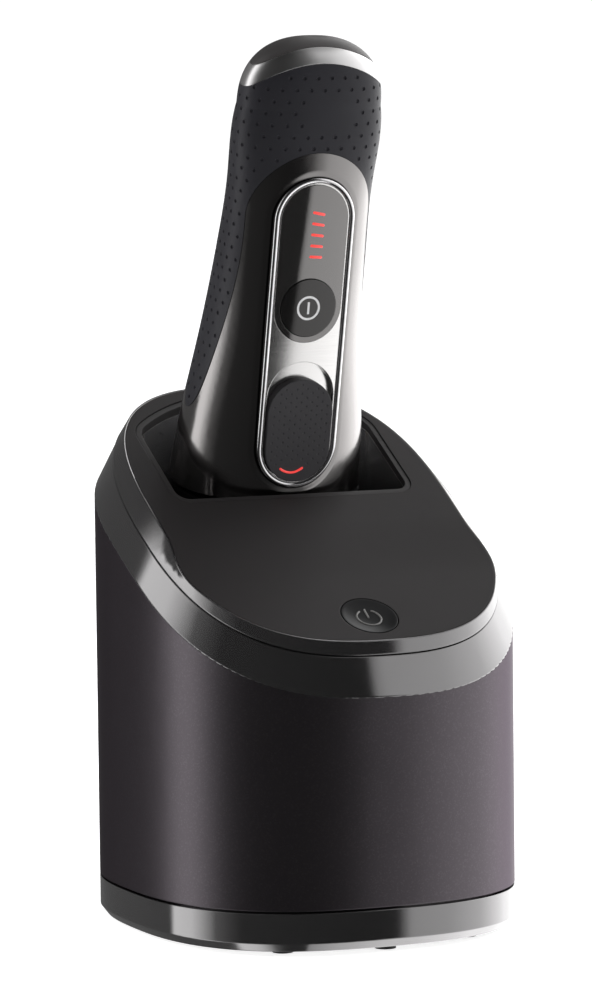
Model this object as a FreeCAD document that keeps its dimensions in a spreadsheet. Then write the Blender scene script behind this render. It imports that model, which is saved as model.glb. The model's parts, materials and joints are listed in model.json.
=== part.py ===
import FreeCAD, Part
import math
import os
import re
import Sketcher

os.makedirs("parts", exist_ok=True)
Vector = FreeCAD.Vector
doc = FreeCAD.newDocument("ShaverCleaningStation")

# ---------------------------------------------------------------------------
# Driving sizes, in millimetres and degrees. +Z is up, the front faces -Y and
# z = 0 is the surface that the feet stand on.
# ---------------------------------------------------------------------------
sizes = {
    # plan oval shared by the base, the housing and the trim rings
    "ovalHalfX": 59.0, "ovalHalfY": 65.9, "ovalPower": 2.6,
    # base
    "footReveal": 1.2, "footSink": 1.0, "footRadius": 3.2, "footX": 30.0, "footInset": 14.4,
    "footMidInset": 6.9, "floorWall": 2.4, "baseChamfer": 2.0, "baseChamferRise": 2.6, "baseTop": 12.7,
    "lipInset": 3.0, "lipWall": 1.6, "lipTop": 17.0, "seamGap": 0.8,
    # housing and the slanted deck
    "housingWall": 2.4, "wallTopMid": 113.9, "deckSlope": 0.575,
    "rearFall": 0.12, "rearBlend": 15.0, "bevelInset": 4.54, "bevelInsetBack": 7.0, "bevelRise": 9.06,
    "bevelDip": 9.0, "trimSeam": 0.5, "trimWall": 2.4,
    "spigotWall": 1.5, "spigotDepth": 5.0, "spigotGap": 0.1, "spigotRoot": 0.5,
    "edgeInsetFront": 5.0, "edgeInsetBack": 9.2, "deckRiseFront": 13.4, "deckRiseBack": 14.6,
    "stepFront": -33.0, "stepBack": -10.0, "deckBottomRise": 12.0, "trimLand": 0.5, "trimLedge": 1.2,
    "panelGap": 0.1,
    # well in the deck
    "wellRim": 18.7, "wellFront": 2.6, "wellRimBack": 12.5, "wellFrontRadius": 6.0, "wellBackRadius": 9.0,
    "wellArcRise": 19.7, "linerGap": 0.15, "linerWall": 1.7, "linerLip": 1.2, "linerSink": 0.3,
    "linerLipWall": 1.5, "shelfTop": 118.0, "shelfWall": 1.6,
    # bowl under the well
    "shelfReach": 5.3, "shelfReachY": 4.0, "bowlBehind": 1.4, "bowlPower": 3.2, "bowlWall": 1.8,
    "bowlFlange": 1.0, "bowlFloorTop": 101.0, "gasketWall": 0.8, "flangeWall": 1.6,
    # chassis plate with its sleeves, and the guide columns they run on
    "chassisBottom": 50.0, "chassisWall": 2.4, "chassisGap": 0.2,
    "columnX": 32.0, "columnInset": 26.9, "columnWide": 12.0, "columnDeep": 10.0, "columnTop": 90.0,
    "sleeveGap": 0.4, "sleeveWall": 1.6, "sleeveBottom": 22.0, "sleeveTop": 62.0,
    "bossInset": 6.6, "bossY": 22.0, "bossRadius": 3.6, "bossTall": 4.0,
    "screwRadius": 1.4, "screwHeadRadius": 2.8, "screwHeadTall": 1.6, "screwLength": 9.0, "screwGap": 0.1,
    # cleaning cartridge
    "cartridgeInset": 7.0, "cartridgeRoom": 9.0, "cartridgeWall": 1.6, "cartridgeLift": 0.1,
    "cartridgeTop": 45.0, "lidWall": 2.0, "lidHoleRadius": 8.0,
    "filterRadius": 9.6, "filterWall": 1.2, "filterBottom": 7.0,
    # pump, motor and pipes
    "pumpY": -14.0, "pumpRadius": 17.0, "pumpWall": 2.0, "pumpChamber": 9.0, "pumpCoverWall": 2.0,
    "inletRadius": 4.0, "inletWall": 1.2, "inletBottom": 10.0,
    "motorRadius": 13.8, "motorTall": 28.0, "motorBossRadius": 5.0, "motorBossTall": 2.5,
    "shaftRadius": 1.5, "shaftGap": 0.06, "shaftRoom": 0.5, "impellerRadius": 13.0, "impellerHub": 3.6,
    "impellerTall": 6.0, "impellerBlades": 6, "bladeWall": 1.4, "impellerGap": 0.9,
    "tubeX": 13.0, "tubeY": 22.0, "tubeRadius": 3.0, "tubeBore": 2.0, "tubeBend": 9.0, "outletReach": 4.0,
    "barbTall": 5.0,
    "drainX": -16.0, "drainY": 19.0, "drainRadius": 5.0, "drainWall": 1.2, "drainBottom": 41.0,
    # electrical pieces of the station
    "boardX": -44.0, "boardWall": 1.6, "boardY": -14.0, "boardLong": 40.0, "boardTall": 34.0,
    "socketX": 20.0, "socketZ": 31.0, "socketWide": 14.0, "socketTall": 16.0, "socketDeep": 12.0,
    "socketInset": 6.5, "inletSlotWide": 9.6, "inletSlotTall": 5.6, "inletDepth": 9.0, "pinRadius": 0.8,
    "pinPitch": 4.6, "noseWide": 12.0, "noseTall": 9.0, "noseSink": 0.5, "socketGap": 0.15,
    "contactZ": 143.4, "contactWide": 16.0, "contactTall": 9.0, "contactProud": 1.0, "contactPinRadius": 1.1,
    "contactPinReach": 1.2, "contactPitch": 8.0, "carrierBehind": 1.0,
    # start button on the deck
    "startInset": 15.9, "startRadius": 8.7, "startGap": 0.25, "startWall": 1.8, "startFlange": 0.8,
    "startFlangeWall": 0.8, "startSlack": 0.1, "startStem": 3.0, "startTravel": 0.8, "stemLength": 6.0,
    "switchWide": 7.0, "switchTall": 3.4, "switchGap": 0.15, "switchBoard": 1.6, "switchBoardWide": 29.0,
    "switchBoardDeep": 14.0, "postRadius": 2.0,
    # lift button, latch lever and lift springs at the back
    "liftZ": 118.0, "liftWide": 24.0, "liftTall": 14.0, "liftGap": 0.3, "liftFlange": 2.0,
    "liftFlangeWall": 1.4, "liftFlangeInset": 3.5, "liftStem": 3.0, "liftStemGap": 0.3,
    "leverInset": 5.9, "leverThick": 3.0, "leverHalf": 3.6,
    "pivotZ": 64.0, "pivotRadius": 1.5, "pivotGap": 0.08,
    "leverTop": 122.0, "leverBottom": 19.0, "hookTall": 3.0, "hookReach": 1.5, "hookGap": 0.3,
    "strikeWall": 2.5, "strikeTall": 2.6, "strikeHalf": 7.0,
    "earGap": 0.5, "earWall": 2.0, "earDepth": 7.0, "earTop": 69.0, "slotGap": 1.5,
    "springX": 15.0, "springBehind": 1.0, "springRadius": 4.6, "springWire": 0.9, "springPitch": 4.6,
    "springSeat": 0.2, "latchSpringRoom": 2.4, "latchSpringRadius": 2.4, "latchSpringWire": 0.5,
    "latchSpringPitch": 0.75,
    # shaver: its own frame has z along the handle, y into the depth, and its
    # front face on y = 0. The handle leans forward by leanAngle.
    "seatInset": 4.5, "seatZ": 129.0, "leanAngle": 13.0,
    "gripInset": 6.9, "frontFlare": 6.6, "frontFlareLength": 56.0, "backFlare": 7.6, "backFlareLength": 98.0,
    "headDepthRoom": 6.8, "endDepth": 23.0, "handleLength": 122.0, "domeRise": 20.7, "domePower": 2.4,
    "handlePower": 2.4, "skinWall": 2.0, "skinGap": 0.12,
    "bandRise": 14.3, "bandRadius": 34.0, "bandTall": 4.4,
    "archTop": 109.2, "archInset": 2.7, "archSpread": 14.0, "archDrop": 85.0, "archPower": 1.7,
    "archDepthHead": 31.0, "archDepthTop": 13.0,
    "frameBottom": 3.8, "frameTop": 101.6, "frameHalf": 13.1, "frameWall": 1.5, "frameProud": 0.3,
    "frameDepth": 3.0, "plateFace": 0.1, "recessDepth": 1.9, "fitGap": 0.1,
    "windowBelow": 11.0, "windowRim": 2.2, "windowHalf": 10.9, "windowProud": 0.1,
    "barCount": 5, "barWide": 4.1, "barTall": 1.1, "barPitch": 3.4, "barDrop": 1.0, "barDepth": 0.4,
    "powerHeight": 61.0, "powerRadius": 9.0, "powerGap": 0.2, "powerProud": 0.5, "powerTravel": 0.8,
    "iconRadius": 3.8, "iconWall": 0.7, "iconDepth": 0.3,
    "recessBottom": 5.6, "recessBelow": 6.2, "recessHalf": 11.0, "sliderBottom": 5.9, "sliderTravel": 5.4,
    "sliderHalf": 10.7, "sliderProud": 0.9, "sliderBack": 1.8,
    "batteryRadius": 7.0, "batteryLength": 50.0, "batteryBottom": 62.0, "driveRadius": 9.0,
    "driveLength": 34.0, "driveBottom": 18.0, "batteryDepth": 14.5, "boreGap": 0.1,
    "shaverBoardWall": 1.4, "shaverBoardWide": 16.0, "shaverBoardTop": 98.0, "shaverBoardBottom": 46.0,
    "chargeHeight": 5.0, "chargeRadius": 1.4, "chargePitch": 8.0, "chargeWall": 1.2, "chargeProud": 0.4,
    # shaver head below the handle
    "headRoom": 5.2, "headGap": 0.6, "headTall": 11.0, "headNarrow": 2.4, "headThin": 6.0, "headInset": 0.5,
    "headForward": 0.5, "headRoof": 6.0,
    "headPivot": -3.0, "neckRadius": 6.0, "neckTop": 6.0, "cassetteInset": 6.9, "cassetteShy": 18.5,
    "cassetteTall": 4.0, "foilInset": 1.5, "foilSpread": 4.5, "foilRim": 0.5, "foilRise": 1.2,
    "foilWall": 0.5, "cutterGap": 0.3, "cutterShort": 1.0, "trimmerDeep": 3.6, "trimmerTall": 4.8,
}

# Sizes that follow from others, so that neighbours keep together.
linked = {
    # placed from the oval
    "footY": "ovalHalfY - footInset", "footMidY": "ovalHalfY - footMidInset",
    "startY": "startInset - ovalHalfY", "bossX": "ovalHalfX - bossInset",
    "columnY": "ovalHalfY - columnInset", "springY": "columnY + springBehind",
    "cartridgeBack": "columnY - cartridgeRoom", "socketBack": "ovalHalfY - socketInset",
    "leverFace": "ovalHalfY - leverInset", "liftFlangeFace": "ovalHalfY - liftFlangeInset",
    # the well, the bowl under it and the shaver that stands in them
    "wellHalfX": "ovalHalfX - wellRim", "wellArcRadius": "wellHalfX + wellArcRise",
    "wellBack": "ovalHalfY - wellRimBack",
    "bowlHalfX": "wellHalfX - shelfReach", "bowlHalfY": "(wellBack - wellFront) / 2 - shelfReachY",
    "bowlY": "(wellBack + wellFront) / 2 + bowlBehind",
    "seatY": "wellFront + seatInset", "headDepth": "wellBack - wellFront - headDepthRoom",
    "headHalf": "bowlHalfX - headRoom", "gripHalf": "headHalf - gripInset",
    "archHalf": "gripHalf - archInset", "headCentre": "headDepth / 2 - headForward",
    "cassetteHalf": "headHalf - cassetteInset", "cassetteDeep": "headDepth - cassetteShy",
    "foilHalf": "cassetteHalf - foilInset", "foilRadius": "(cassetteDeep - trimmerDeep - foilSpread) / 4",
    "foilPitch": "cassetteDeep / 2 - foilRadius - foilRim",
    # pieces along the shaver's face
    "bandCrown": "handleLength + bandRise", "windowTop": "frameTop - windowRim",
    "windowBottom": "powerHeight - windowBelow",
    "barCentre": "(windowTop + powerHeight + powerRadius) / 2 - barDrop",
    "recessTop": "windowBottom - recessBelow", "sliderTop": "recessTop - sliderTravel",
}

sheet = doc.addObject("Spreadsheet::Sheet", "sizes")
cells = {**sizes, **{name: f"={formula}" for name, formula in linked.items()}}
for row, (name, value) in enumerate(cells.items(), 1):
    sheet.set(f"A{row}", name)
    sheet.set(f"B{row}", str(value))
    sheet.setAlias(f"B{row}", name)
doc.recompute()

nodes = {}


# ---------------------------------------------------------------------------
# Small helpers: every text below is an expression of the sizes above.
# ---------------------------------------------------------------------------
def link(text):
    return re.sub(r"[A-Za-z]\w*", lambda word: "sizes." + word[0] if word[0] in cells else word[0], str(text))


def size(text):
    return float(sheet.evalExpression(link(text)))


def bind(item, **texts):
    for name, text in texts.items():
        item.setExpression(name, link(text))
    return item


def move(item, at):
    for axis, text in zip("xyz", at):
        item.setExpression(f"Placement.Base.{axis}", link(text))
    return item


def box(name, corner, extent):
    item = doc.addObject("Part::Box", name)
    bind(item, Length=extent[0], Width=extent[1], Height=extent[2])
    return move(item, corner)


turnTo = {
    "z": FreeCAD.Rotation(),
    "x": FreeCAD.Rotation(Vector(0, -1, 0), Vector(0, 0, -1), Vector(1, 0, 0), "XYZ"),
    "y": FreeCAD.Rotation(Vector(1, 0, 0), -90),
}


def cylinder(name, radius, height, at, axis="z"):
    item = doc.addObject("Part::Cylinder", name)
    item.Placement = FreeCAD.Placement(Vector(), turnTo[axis])
    bind(item, Radius=radius, Height=height)
    return move(item, at)


def fuse(name, *parts):
    item = doc.addObject("Part::MultiFuse", name)
    item.Shapes = list(parts)
    return item


def group(name, *parts):
    item = doc.addObject("Part::Compound", name)
    item.Links = list(parts)
    return item


def cut(name, base, *tools):
    item = doc.addObject("Part::Cut", name)
    item.Base = base
    item.Tool = tools[0] if len(tools) == 1 else fuse(name + "_tools", *tools)
    return item


def common(name, first, second):
    item = doc.addObject("Part::Common", name)
    item.Base = first
    item.Tool = second
    return item


def shaped(name, shape):
    item = doc.addObject("Part::Feature", name)
    item.Shape = shape
    return item


def node(name, item):
    item.Label = name
    nodes[name] = item
    return item


def profile(body, role, points):
    sketch = body.newObject("Sketcher::SketchObject", body.Name + "_sketch")
    plane = next(item for item in body.Origin.OriginFeatures if item.Role == role)
    sketch.AttachmentSupport = [(plane, "")]
    sketch.MapMode = "FlatFace"
    corners = [Vector(size(x), size(y), 0) for x, y in points]
    count = len(corners)
    for index in range(count):
        sketch.addGeometry(Part.LineSegment(corners[index], corners[(index + 1) % count]))
    for index in range(count):
        sketch.addConstraint(Sketcher.Constraint("Coincident", index, 2, (index + 1) % count, 1))
    for index, point in enumerate(points):
        for kind, text in zip(("DistanceX", "DistanceY"), point):
            number = sketch.addConstraint(Sketcher.Constraint(kind, -1, 1, index, 1, size(text)))
            sketch.setExpression(f"Constraints[{number}]", link(text))
    return sketch


def turned(name, points, at=("0", "0", "0")):
    """A body turned about its own vertical axis from (radius, height) corners."""
    body = doc.addObject("PartDesign::Body", name)
    sketch = profile(body, "XZ_Plane", points)
    revolution = body.newObject("PartDesign::Revolution", name + "_turn")
    revolution.Profile = sketch
    revolution.ReferenceAxis = (sketch, ["V_Axis"])
    revolution.Angle = 360
    return move(body, at)


def padded(name, role, points, length, at=("0", "0", "0")):
    """A body padded to both sides of one of its own origin planes."""
    body = doc.addObject("PartDesign::Body", name)
    sketch = profile(body, role, points)
    pad = body.newObject("PartDesign::Pad", name + "_pad")
    pad.Profile = sketch
    pad.SideType = "Symmetric"
    pad.setExpression("Length", link(length))
    return move(body, at)


# ---------------------------------------------------------------------------
# Curves: superellipses, the slanted planes and the outline of the well.
# ---------------------------------------------------------------------------
curvePoints = 48


def closedCurve(points):
    curve = Part.BSplineCurve()
    count = len(points)
    curve.interpolate(Points=points, PeriodicFlag=True,
                      Parameters=[index / count for index in range(count + 1)])
    return Part.Wire([curve.toShape()])


def superPoints(halfX, halfY, power, inset=0.0):
    """Points of a superellipse moved in by inset, from the back round to the back."""
    for index in range(curvePoints):
        angle = math.pi / 2 + 2 * math.pi * index / curvePoints
        cosine, sine = math.cos(angle), math.sin(angle)
        reach = (abs(cosine / halfX) ** power + abs(sine / halfY) ** power) ** (-1 / power)
        x, y = reach * cosine, reach * sine
        normalX = math.copysign(abs(x / halfX) ** (power - 1) / halfX, x)
        normalY = math.copysign(abs(y / halfY) ** (power - 1) / halfY, y)
        step = (inset(y) if callable(inset) else inset) / math.hypot(normalX, normalY)
        yield x - step * normalX, y - step * normalY


def ovalWire(inset, height, slope=0.0):
    """The plan oval moved in by inset, on the plane z = height + slope * y."""
    plan = superPoints(size("ovalHalfX"), size("ovalHalfY"), size("ovalPower"), inset)
    return closedCurve([Vector(x, y, height + slope * y) for x, y in plan])


def slantWire(inset, rise):
    """The plan oval on the plane that lies rise above the top of the housing's wall."""
    return ovalWire(inset, size("wallTopMid") + rise, size("deckSlope"))


def solidBetween(*wires):
    return Part.makeLoft(list(wires), True, True)


def smooth(share):
    share = min(max(share, 0.0), 1.0)
    return share * share * (3 - 2 * share)


def blend(y, front, back):
    """Runs smoothly from front to back across the step in the deck."""
    return front + (back - front) * smooth((y - size("stepFront")) / (size("stepBack") - size("stepFront")))


def deckRise(y):
    return blend(y, size("deckRiseFront"), size("deckRiseBack"))


def edgeInset(y):
    return blend(y, size("edgeInsetFront"), size("edgeInsetBack"))


def underCurve(rise, start, end, backSlope, drop=0.0):
    """Everything under the slanted plane raised by rise(y), which bends only from start to end."""
    far, samples = 2 * size("ovalHalfY"), 9

    def point(y):
        return Vector(-far, y, size("wallTopMid") + size("deckSlope") * y + rise(y) - drop)

    bend = [point(start + (end - start) * index / (samples - 1)) for index in range(samples)]
    curve = Part.BSplineCurve()
    curve.interpolate(Points=bend, InitialTangent=Vector(0, 1, size("deckSlope")),
                      FinalTangent=Vector(0, 1, backSlope))
    corners = [bend[-1], point(far), Vector(-far, far, -far), Vector(-far, -far, -far), point(-far), bend[0]]
    edges = [curve.toShape()] + [Part.LineSegment(*pair).toShape() for pair in zip(corners, corners[1:])]
    return Part.Face(Part.Wire(edges)).extrude(Vector(2 * far, 0, 0))


def belowDeck(drop=0.0):
    return underCurve(deckRise, size("stepFront"), size("stepBack"), size("deckSlope"), drop)


def seamRise(y):
    """The wall's top leaves the slanted plane behind the middle: it climbs less steeply there."""
    reach = size("rearBlend")
    share = min(max(y + reach, 0.0), 2 * reach)
    return -size("rearFall") * (share * share / (4 * reach) + max(y - reach, 0.0))


def belowSeam(drop=0.0):
    reach = size("rearBlend")
    return underCurve(seamRise, -reach, reach, size("deckSlope - rearFall"), drop)


def seamInset(y):
    """How far the seam between the two trim rings lies inside the plan oval."""
    return size("bevelInset") + size("bevelInsetBack - bevelInset") * smooth(y / size("ovalHalfY"))


def prism(inset, bottom, top):
    return solidBetween(ovalWire(inset, bottom), ovalWire(inset, top))


def arc(centre, radius, start, end, z):
    angles = (start, (start + end) / 2, end)
    ends = [Vector(centre[0] + radius * math.cos(a), centre[1] + radius * math.sin(a), z) for a in angles]
    return Part.Arc(*ends).toShape()


def wellWire(inset, z):
    """The D-shaped mouth of the well: straight in front, an arc at the back."""
    halfX, front, back = size("wellHalfX"), size("wellFront"), size("wellBack")
    frontRadius, backRadius = size("wellFrontRadius"), size("wellBackRadius")
    arcRadius = size("wellArcRadius")
    arcY = back - arcRadius
    frontX, frontY = halfX - frontRadius, front + frontRadius
    backX = halfX - backRadius
    backY = arcY + math.sqrt((arcRadius - backRadius) ** 2 - backX ** 2)
    turn = math.atan2(backY - arcY, backX)
    corners = [
        arc((frontX, frontY), frontRadius - inset, -math.pi / 2, 0, z),
        arc((backX, backY), backRadius - inset, 0, turn, z),
        arc((0, arcY), arcRadius - inset, turn, math.pi - turn, z),
        arc((-backX, backY), backRadius - inset, math.pi - turn, math.pi, z),
        arc((-frontX, frontY), frontRadius - inset, math.pi, 3 * math.pi / 2, z),
    ]
    edges = []
    for index, corner in enumerate(corners):
        edges.append(corner)
        following = corners[(index + 1) % len(corners)]
        start, end = corner.Vertexes[-1].Point, following.Vertexes[0].Point
        if start.distanceToPoint(end) > 1e-6:
            edges.append(Part.LineSegment(start, end).toShape())
    return Part.Wire(edges)


def wellSolid(inset, bottom, top):
    return Part.Face(wellWire(inset, bottom)).extrude(Vector(0, 0, top - bottom))


def superSolid(centre, half, power, bottom, top, inset=0.0):
    plan = superPoints(half[0], half[1], power, inset)
    wire = closedCurve([Vector(centre[0] + x, centre[1] + y, bottom) for x, y in plan])
    return Part.Face(wire).extrude(Vector(0, 0, top - bottom))


high = 3 * size("wallTopMid")


# ---------------------------------------------------------------------------
# Base: tray with its lip, feet, guide columns and the cleaning cartridge
# ---------------------------------------------------------------------------
floorTop = "footReveal + floorWall"


def makeBase():
    bottom, top = size("footReveal"), size("baseTop")
    chamferTop = bottom + size("baseChamferRise")
    outside = solidBetween(ovalWire(size("baseChamfer"), bottom), ovalWire(0, chamferTop), ovalWire(0, top))
    lip = prism(size("lipInset"), bottom, size("lipTop"))
    inside = prism(size("lipInset + lipWall"), size(floorTop), size("lipTop") + 1)
    blank = shaped("tray_blank", outside.fuse(lip).cut(inside))
    hookY = "leverFace - leverThick - hookReach - hookGap"
    strikeZ = "leverBottom + hookTall + hookGap"
    post = box("strike_post", ("-strikeHalf", f"{hookY} - 2 * strikeWall", floorTop),
               ("2 * strikeHalf", "strikeWall", f"{strikeZ} + strikeTall - ({floorTop})"))
    ledge = box("strike_ledge", ("-strikeHalf", f"{hookY} - 2 * strikeWall", strikeZ),
                ("2 * strikeHalf", "2 * strikeWall", "strikeTall"))
    solid = fuse("tray_solid", blank, post, ledge)
    places = [(f"{sign}footX", f"{side}footY") for sign in ("-", "") for side in ("-", "")]
    places += [("0", "-footMidY"), ("0", "footMidY")]
    feet, wells = [], []
    for number, (x, y) in enumerate(places):
        tall = "footReveal + footSink"
        feet.append(cylinder(f"foot_{number}", "footRadius", tall, (x, y, "0")))
        wells.append(cylinder(f"foot_well_{number}", "footRadius + fitGap", tall, (x, y, "0")))
    bores, screws = [], []
    for number, sign in enumerate(("-", "")):
        x = f"{sign}columnX"
        bores.append(screwBore(f"column_bore_{number}", (x, "columnY", "footReveal")))
        screws.append(screwSolid(f"column_screw_{number}", (x, "columnY", "footReveal")))
    node("base_tray", cut("base_tray", solid, *wells, *bores))
    node("rubber_feet", group("rubber_feet", *feet))
    node("base_screws", group("base_screws", *screws))
    columns = []
    for number, sign in enumerate(("-", "")):
        corner = (f"{sign}columnX - columnWide / 2", "columnY - columnDeep / 2", floorTop)
        blank = box(f"column_{number}", corner, ("columnWide", "columnDeep", f"columnTop - ({floorTop})"))
        bore = screwBore(f"column_thread_{number}", (f"{sign}columnX", "columnY", "footReveal"))
        columns.append(cut(f"guide_column_{number}", blank, bore))
    node("guide_columns", group("guide_columns", *columns))


def screwSolid(name, at, down=False):
    """A pan-head screw whose head's outer face lies at the given point."""
    turn = -1 if down else 1
    points = [("0", "0"), ("screwHeadRadius", "0"), ("screwHeadRadius", f"{turn} * screwHeadTall"),
              ("screwRadius", f"{turn} * screwHeadTall"), ("screwRadius", f"{turn} * screwLength"),
              ("0", f"{turn} * screwLength")]
    return turned(name, points, at)


def screwBore(name, at, down=False):
    """The stepped hole that a screw sits in, open beyond the head."""
    turn = -1 if down else 1
    points = [("0", f"{-turn}"), ("screwHeadRadius + screwGap", f"{-turn}"),
              ("screwHeadRadius + screwGap", f"{turn} * screwHeadTall"),
              ("screwRadius + screwGap", f"{turn} * screwHeadTall"),
              ("screwRadius + screwGap", f"{turn} * (screwLength + 1)"), ("0", f"{turn} * (screwLength + 1)")]
    return turned(name, points, at)


def makeCartridge():
    bottom, top = size(f"{floorTop} + cartridgeLift"), size("cartridgeTop - lidWall")
    inset, wall = size("cartridgeInset"), size("cartridgeWall")
    outside = shaped("tub_outside", prism(inset, bottom, top))
    inside = shaped("tub_inside", prism(inset + wall, bottom + wall, top + 1))
    corner, wide, deep = ("-ovalHalfX", "-ovalHalfY", "0"), "2 * ovalHalfX", "ovalHalfY + cartridgeBack"
    outsideBox = box("tub_outside_box", corner, (wide, deep, "cartridgeTop"))
    insideBox = box("tub_inside_box", corner, (wide, f"{deep} - cartridgeWall", "2 * cartridgeTop"))
    node("cartridge_tub", cut("cartridge_tub", common("tub_solid", outside, outsideBox),
                              common("tub_room", inside, insideBox)))
    plate = shaped("lid_plate", prism(inset, top, size("cartridgeTop")))
    lidBox = box("lid_box", corner, (wide, deep, "2 * cartridgeTop"))
    intake = ("0", "pumpY", "lidWall")
    drain = ("drainX", "drainY", "lidWall")
    holes = [cylinder("lid_intake_hole", "filterRadius - filterWall", "cartridgeTop", intake),
             cylinder("lid_drain_hole", "lidHoleRadius", "cartridgeTop", drain)]
    node("cartridge_lid", cut("cartridge_lid", common("lid_solid", plate, lidBox), *holes))
    tall = "cartridgeTop - lidWall"
    node("cartridge_filter", turned("cartridge_filter", [
        ("0", "filterBottom"), ("filterRadius", "filterBottom"), ("filterRadius", tall),
        ("filterRadius - filterWall", tall), ("filterRadius - filterWall", "filterBottom + filterWall"),
        ("0", "filterBottom + filterWall")], ("0", "pumpY", "0")))


# ---------------------------------------------------------------------------
# Housing: wall, the two bevelled trim rings and the satin deck
# ---------------------------------------------------------------------------
def makeHousing():
    bottom, wall = size("baseTop + seamGap"), size("housingWall")
    outside = prism(0, bottom, high).common(belowSeam())
    inside = prism(wall, bottom - 1, high)
    shell = shaped("housing_wall", outside.cut(inside))
    full = shaped("housing_full", outside)
    bosses, bores, screws = [], [], []
    for number, (sign, side) in enumerate(((a, b) for a in ("-", "") for b in ("-", ""))):
        x, y = f"{sign}bossX", f"{side}bossY"
        boss = cylinder(f"boss_{number}", "bossRadius", "bossTall", (x, y, "chassisBottom - bossTall"))
        bosses.append(common(f"boss_trimmed_{number}", boss, full))
        head = (x, y, "chassisBottom + chassisWall + screwHeadTall")
        bores.append(screwBore(f"boss_bore_{number}", head, down=True))
        screws.append(screwSolid(f"boss_screw_{number}", head, down=True))
    liftHole = box("lift_hole", ("-liftWide / 2", "leverFace", "liftZ - liftTall / 2"),
                   ("liftWide", "ovalHalfY", "liftTall"))
    corner = ("socketX - noseWide / 2 - socketGap", "socketBack", "socketZ - noseTall / 2 - socketGap")
    extent = ("noseWide + 2 * socketGap", "ovalHalfY", "noseTall + 2 * socketGap")
    inletHole = box("inlet_hole", corner, extent)
    solid = fuse("housing_solid", shell, *bosses)
    node("housing_shell", cut("housing_shell", solid, liftHole, inletHole, *bores))
    node("chassis_screws", group("chassis_screws", *screws))


def makeLowerTrim():
    wall, rise, reach = size("trimWall"), size("bevelRise"), size("bevelRise + bevelDip")

    def bevel(inset):
        def low(y):
            top = seamInset(y)
            return inset + top - top * reach / (rise - seamRise(y))

        def top(y):
            return inset + seamInset(y)

        return solidBetween(slantWire(low, rise - reach), slantWire(top, rise))

    outside = bevel(0).cut(belowSeam())
    spigotFace = size("housingWall + spigotGap")
    spigot = prism(spigotFace, 0, high).cut(prism(spigotFace + size("spigotWall"), -1, 2 * high))
    spigot = spigot.common(belowSeam(-size("spigotRoot"))).cut(belowSeam(size("spigotDepth")))
    node("lower_trim_ring", shaped("lower_trim_ring", outside.cut(bevel(wall)).fuse(spigot)))


def makeUpperTrim():
    bottom, top = size("bevelRise + trimSeam"), 2 * size("deckRiseBack")

    def extended(y):
        share = (top - bottom) / (deckRise(y) - bottom)
        return seamInset(y) + (edgeInset(y) - seamInset(y)) * share

    def skirtFace(y):
        return seamInset(y) + size("trimWall + spigotGap")

    def skirtBack(y):
        return skirtFace(y) + size("spigotWall")

    def ledge(y):
        return edgeInset(y) + size("trimLand")

    def opening(y):
        return ledge(y) + size("trimLedge")

    outside = solidBetween(slantWire(seamInset, bottom), slantWire(extended, top)).common(belowDeck())
    rebate = solidBetween(slantWire(ledge, size("deckBottomRise")), slantWire(ledge, 2 * top))
    room = solidBetween(slantWire(opening, -top), slantWire(opening, 2 * top))
    foot = bottom - size("spigotDepth")
    skirt = solidBetween(slantWire(skirtFace, foot), slantWire(skirtFace, bottom + size("spigotRoot")))
    skirtRoom = solidBetween(slantWire(skirtBack, foot - 1), slantWire(skirtBack, bottom))
    lower = solidBetween(slantWire(opening, bottom), slantWire(opening, top))
    ring = outside.cut(rebate).cut(room).fuse(skirt.cut(skirtRoom).cut(lower))
    node("upper_trim_ring", shaped("upper_trim_ring", ring))


deckSkin = "(deckRiseFront - deckBottomRise) * cos(atan(deckSlope))"


def tilt(name, *parts):
    """Place pieces made round the start button's own axis on the deck."""
    item = doc.addObject("Part::Compound", name)
    item.Links = list(parts)
    turn = FreeCAD.Rotation(Vector(1, 0, 0), math.degrees(math.atan(size("deckSlope"))))
    item.Placement = FreeCAD.Placement(Vector(), turn)
    item.setExpression("Placement.Rotation.Angle", link("atan(deckSlope)"))
    return move(item, ("0", "startY", "wallTopMid + deckSlope * startY + deckRiseFront"))


stemTip = f"({deckSkin} + startSlack + startFlangeWall + stemLength)"
boardDepth = f"({stemTip} + startTravel + switchGap + switchTall)"


def makeDeck():
    def edge(y):
        return edgeInset(y) + size("trimLand + panelGap")

    bottom = size("deckBottomRise")
    plate = solidBetween(slantWire(edge, bottom), slantWire(edge, 2 * size("deckRiseBack")))
    blank = shaped("deck_plate", plate.common(belowDeck()).cut(wellSolid(0, 0, high)))
    hole = cylinder("start_hole", "startRadius + startGap", "4 * startWall", ("0", "0", "-2 * startWall"))
    posts = []
    for number, sign in enumerate(("-", "")):
        posts.append(cylinder(f"deck_post_{number}", "postRadius", f"{boardDepth} - {deckSkin} / 2",
                              (f"{sign}(switchBoardWide / 2 - postRadius)", "0", f"-{boardDepth}")))
    solid = fuse("deck_solid", blank, tilt("deck_posts", *posts))
    node("deck_panel", cut("deck_panel", solid, tilt("start_hole_tilted", hole)))


def makeStartButton():
    flangeTop = f"-({deckSkin} + startSlack)"
    flangeBottom = f"-({deckSkin} + startSlack + startFlangeWall)"
    flange = "startRadius + startFlange"
    points = [("0", "0"), ("startRadius", "0"), ("startRadius", flangeTop), (flange, flangeTop),
              (flange, flangeBottom), ("startStem", flangeBottom), ("startStem", f"-{stemTip}"),
              ("0", f"-{stemTip}")]
    node("start_button", tilt("start_button", turned("start_button_body", points)))
    body = box("switch_body", ("-switchWide / 2", "-switchWide / 2", f"-{boardDepth}"),
               ("switchWide", "switchWide", "switchTall"))
    corner = ("-switchBoardWide / 2", "-switchBoardDeep / 2", f"-{boardDepth} - switchBoard")
    board = box("switch_card", corner, ("switchBoardWide", "switchBoardDeep", "switchBoard"))
    node("start_switch", tilt("start_switch", fuse("start_switch_solid", body, board)))


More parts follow.
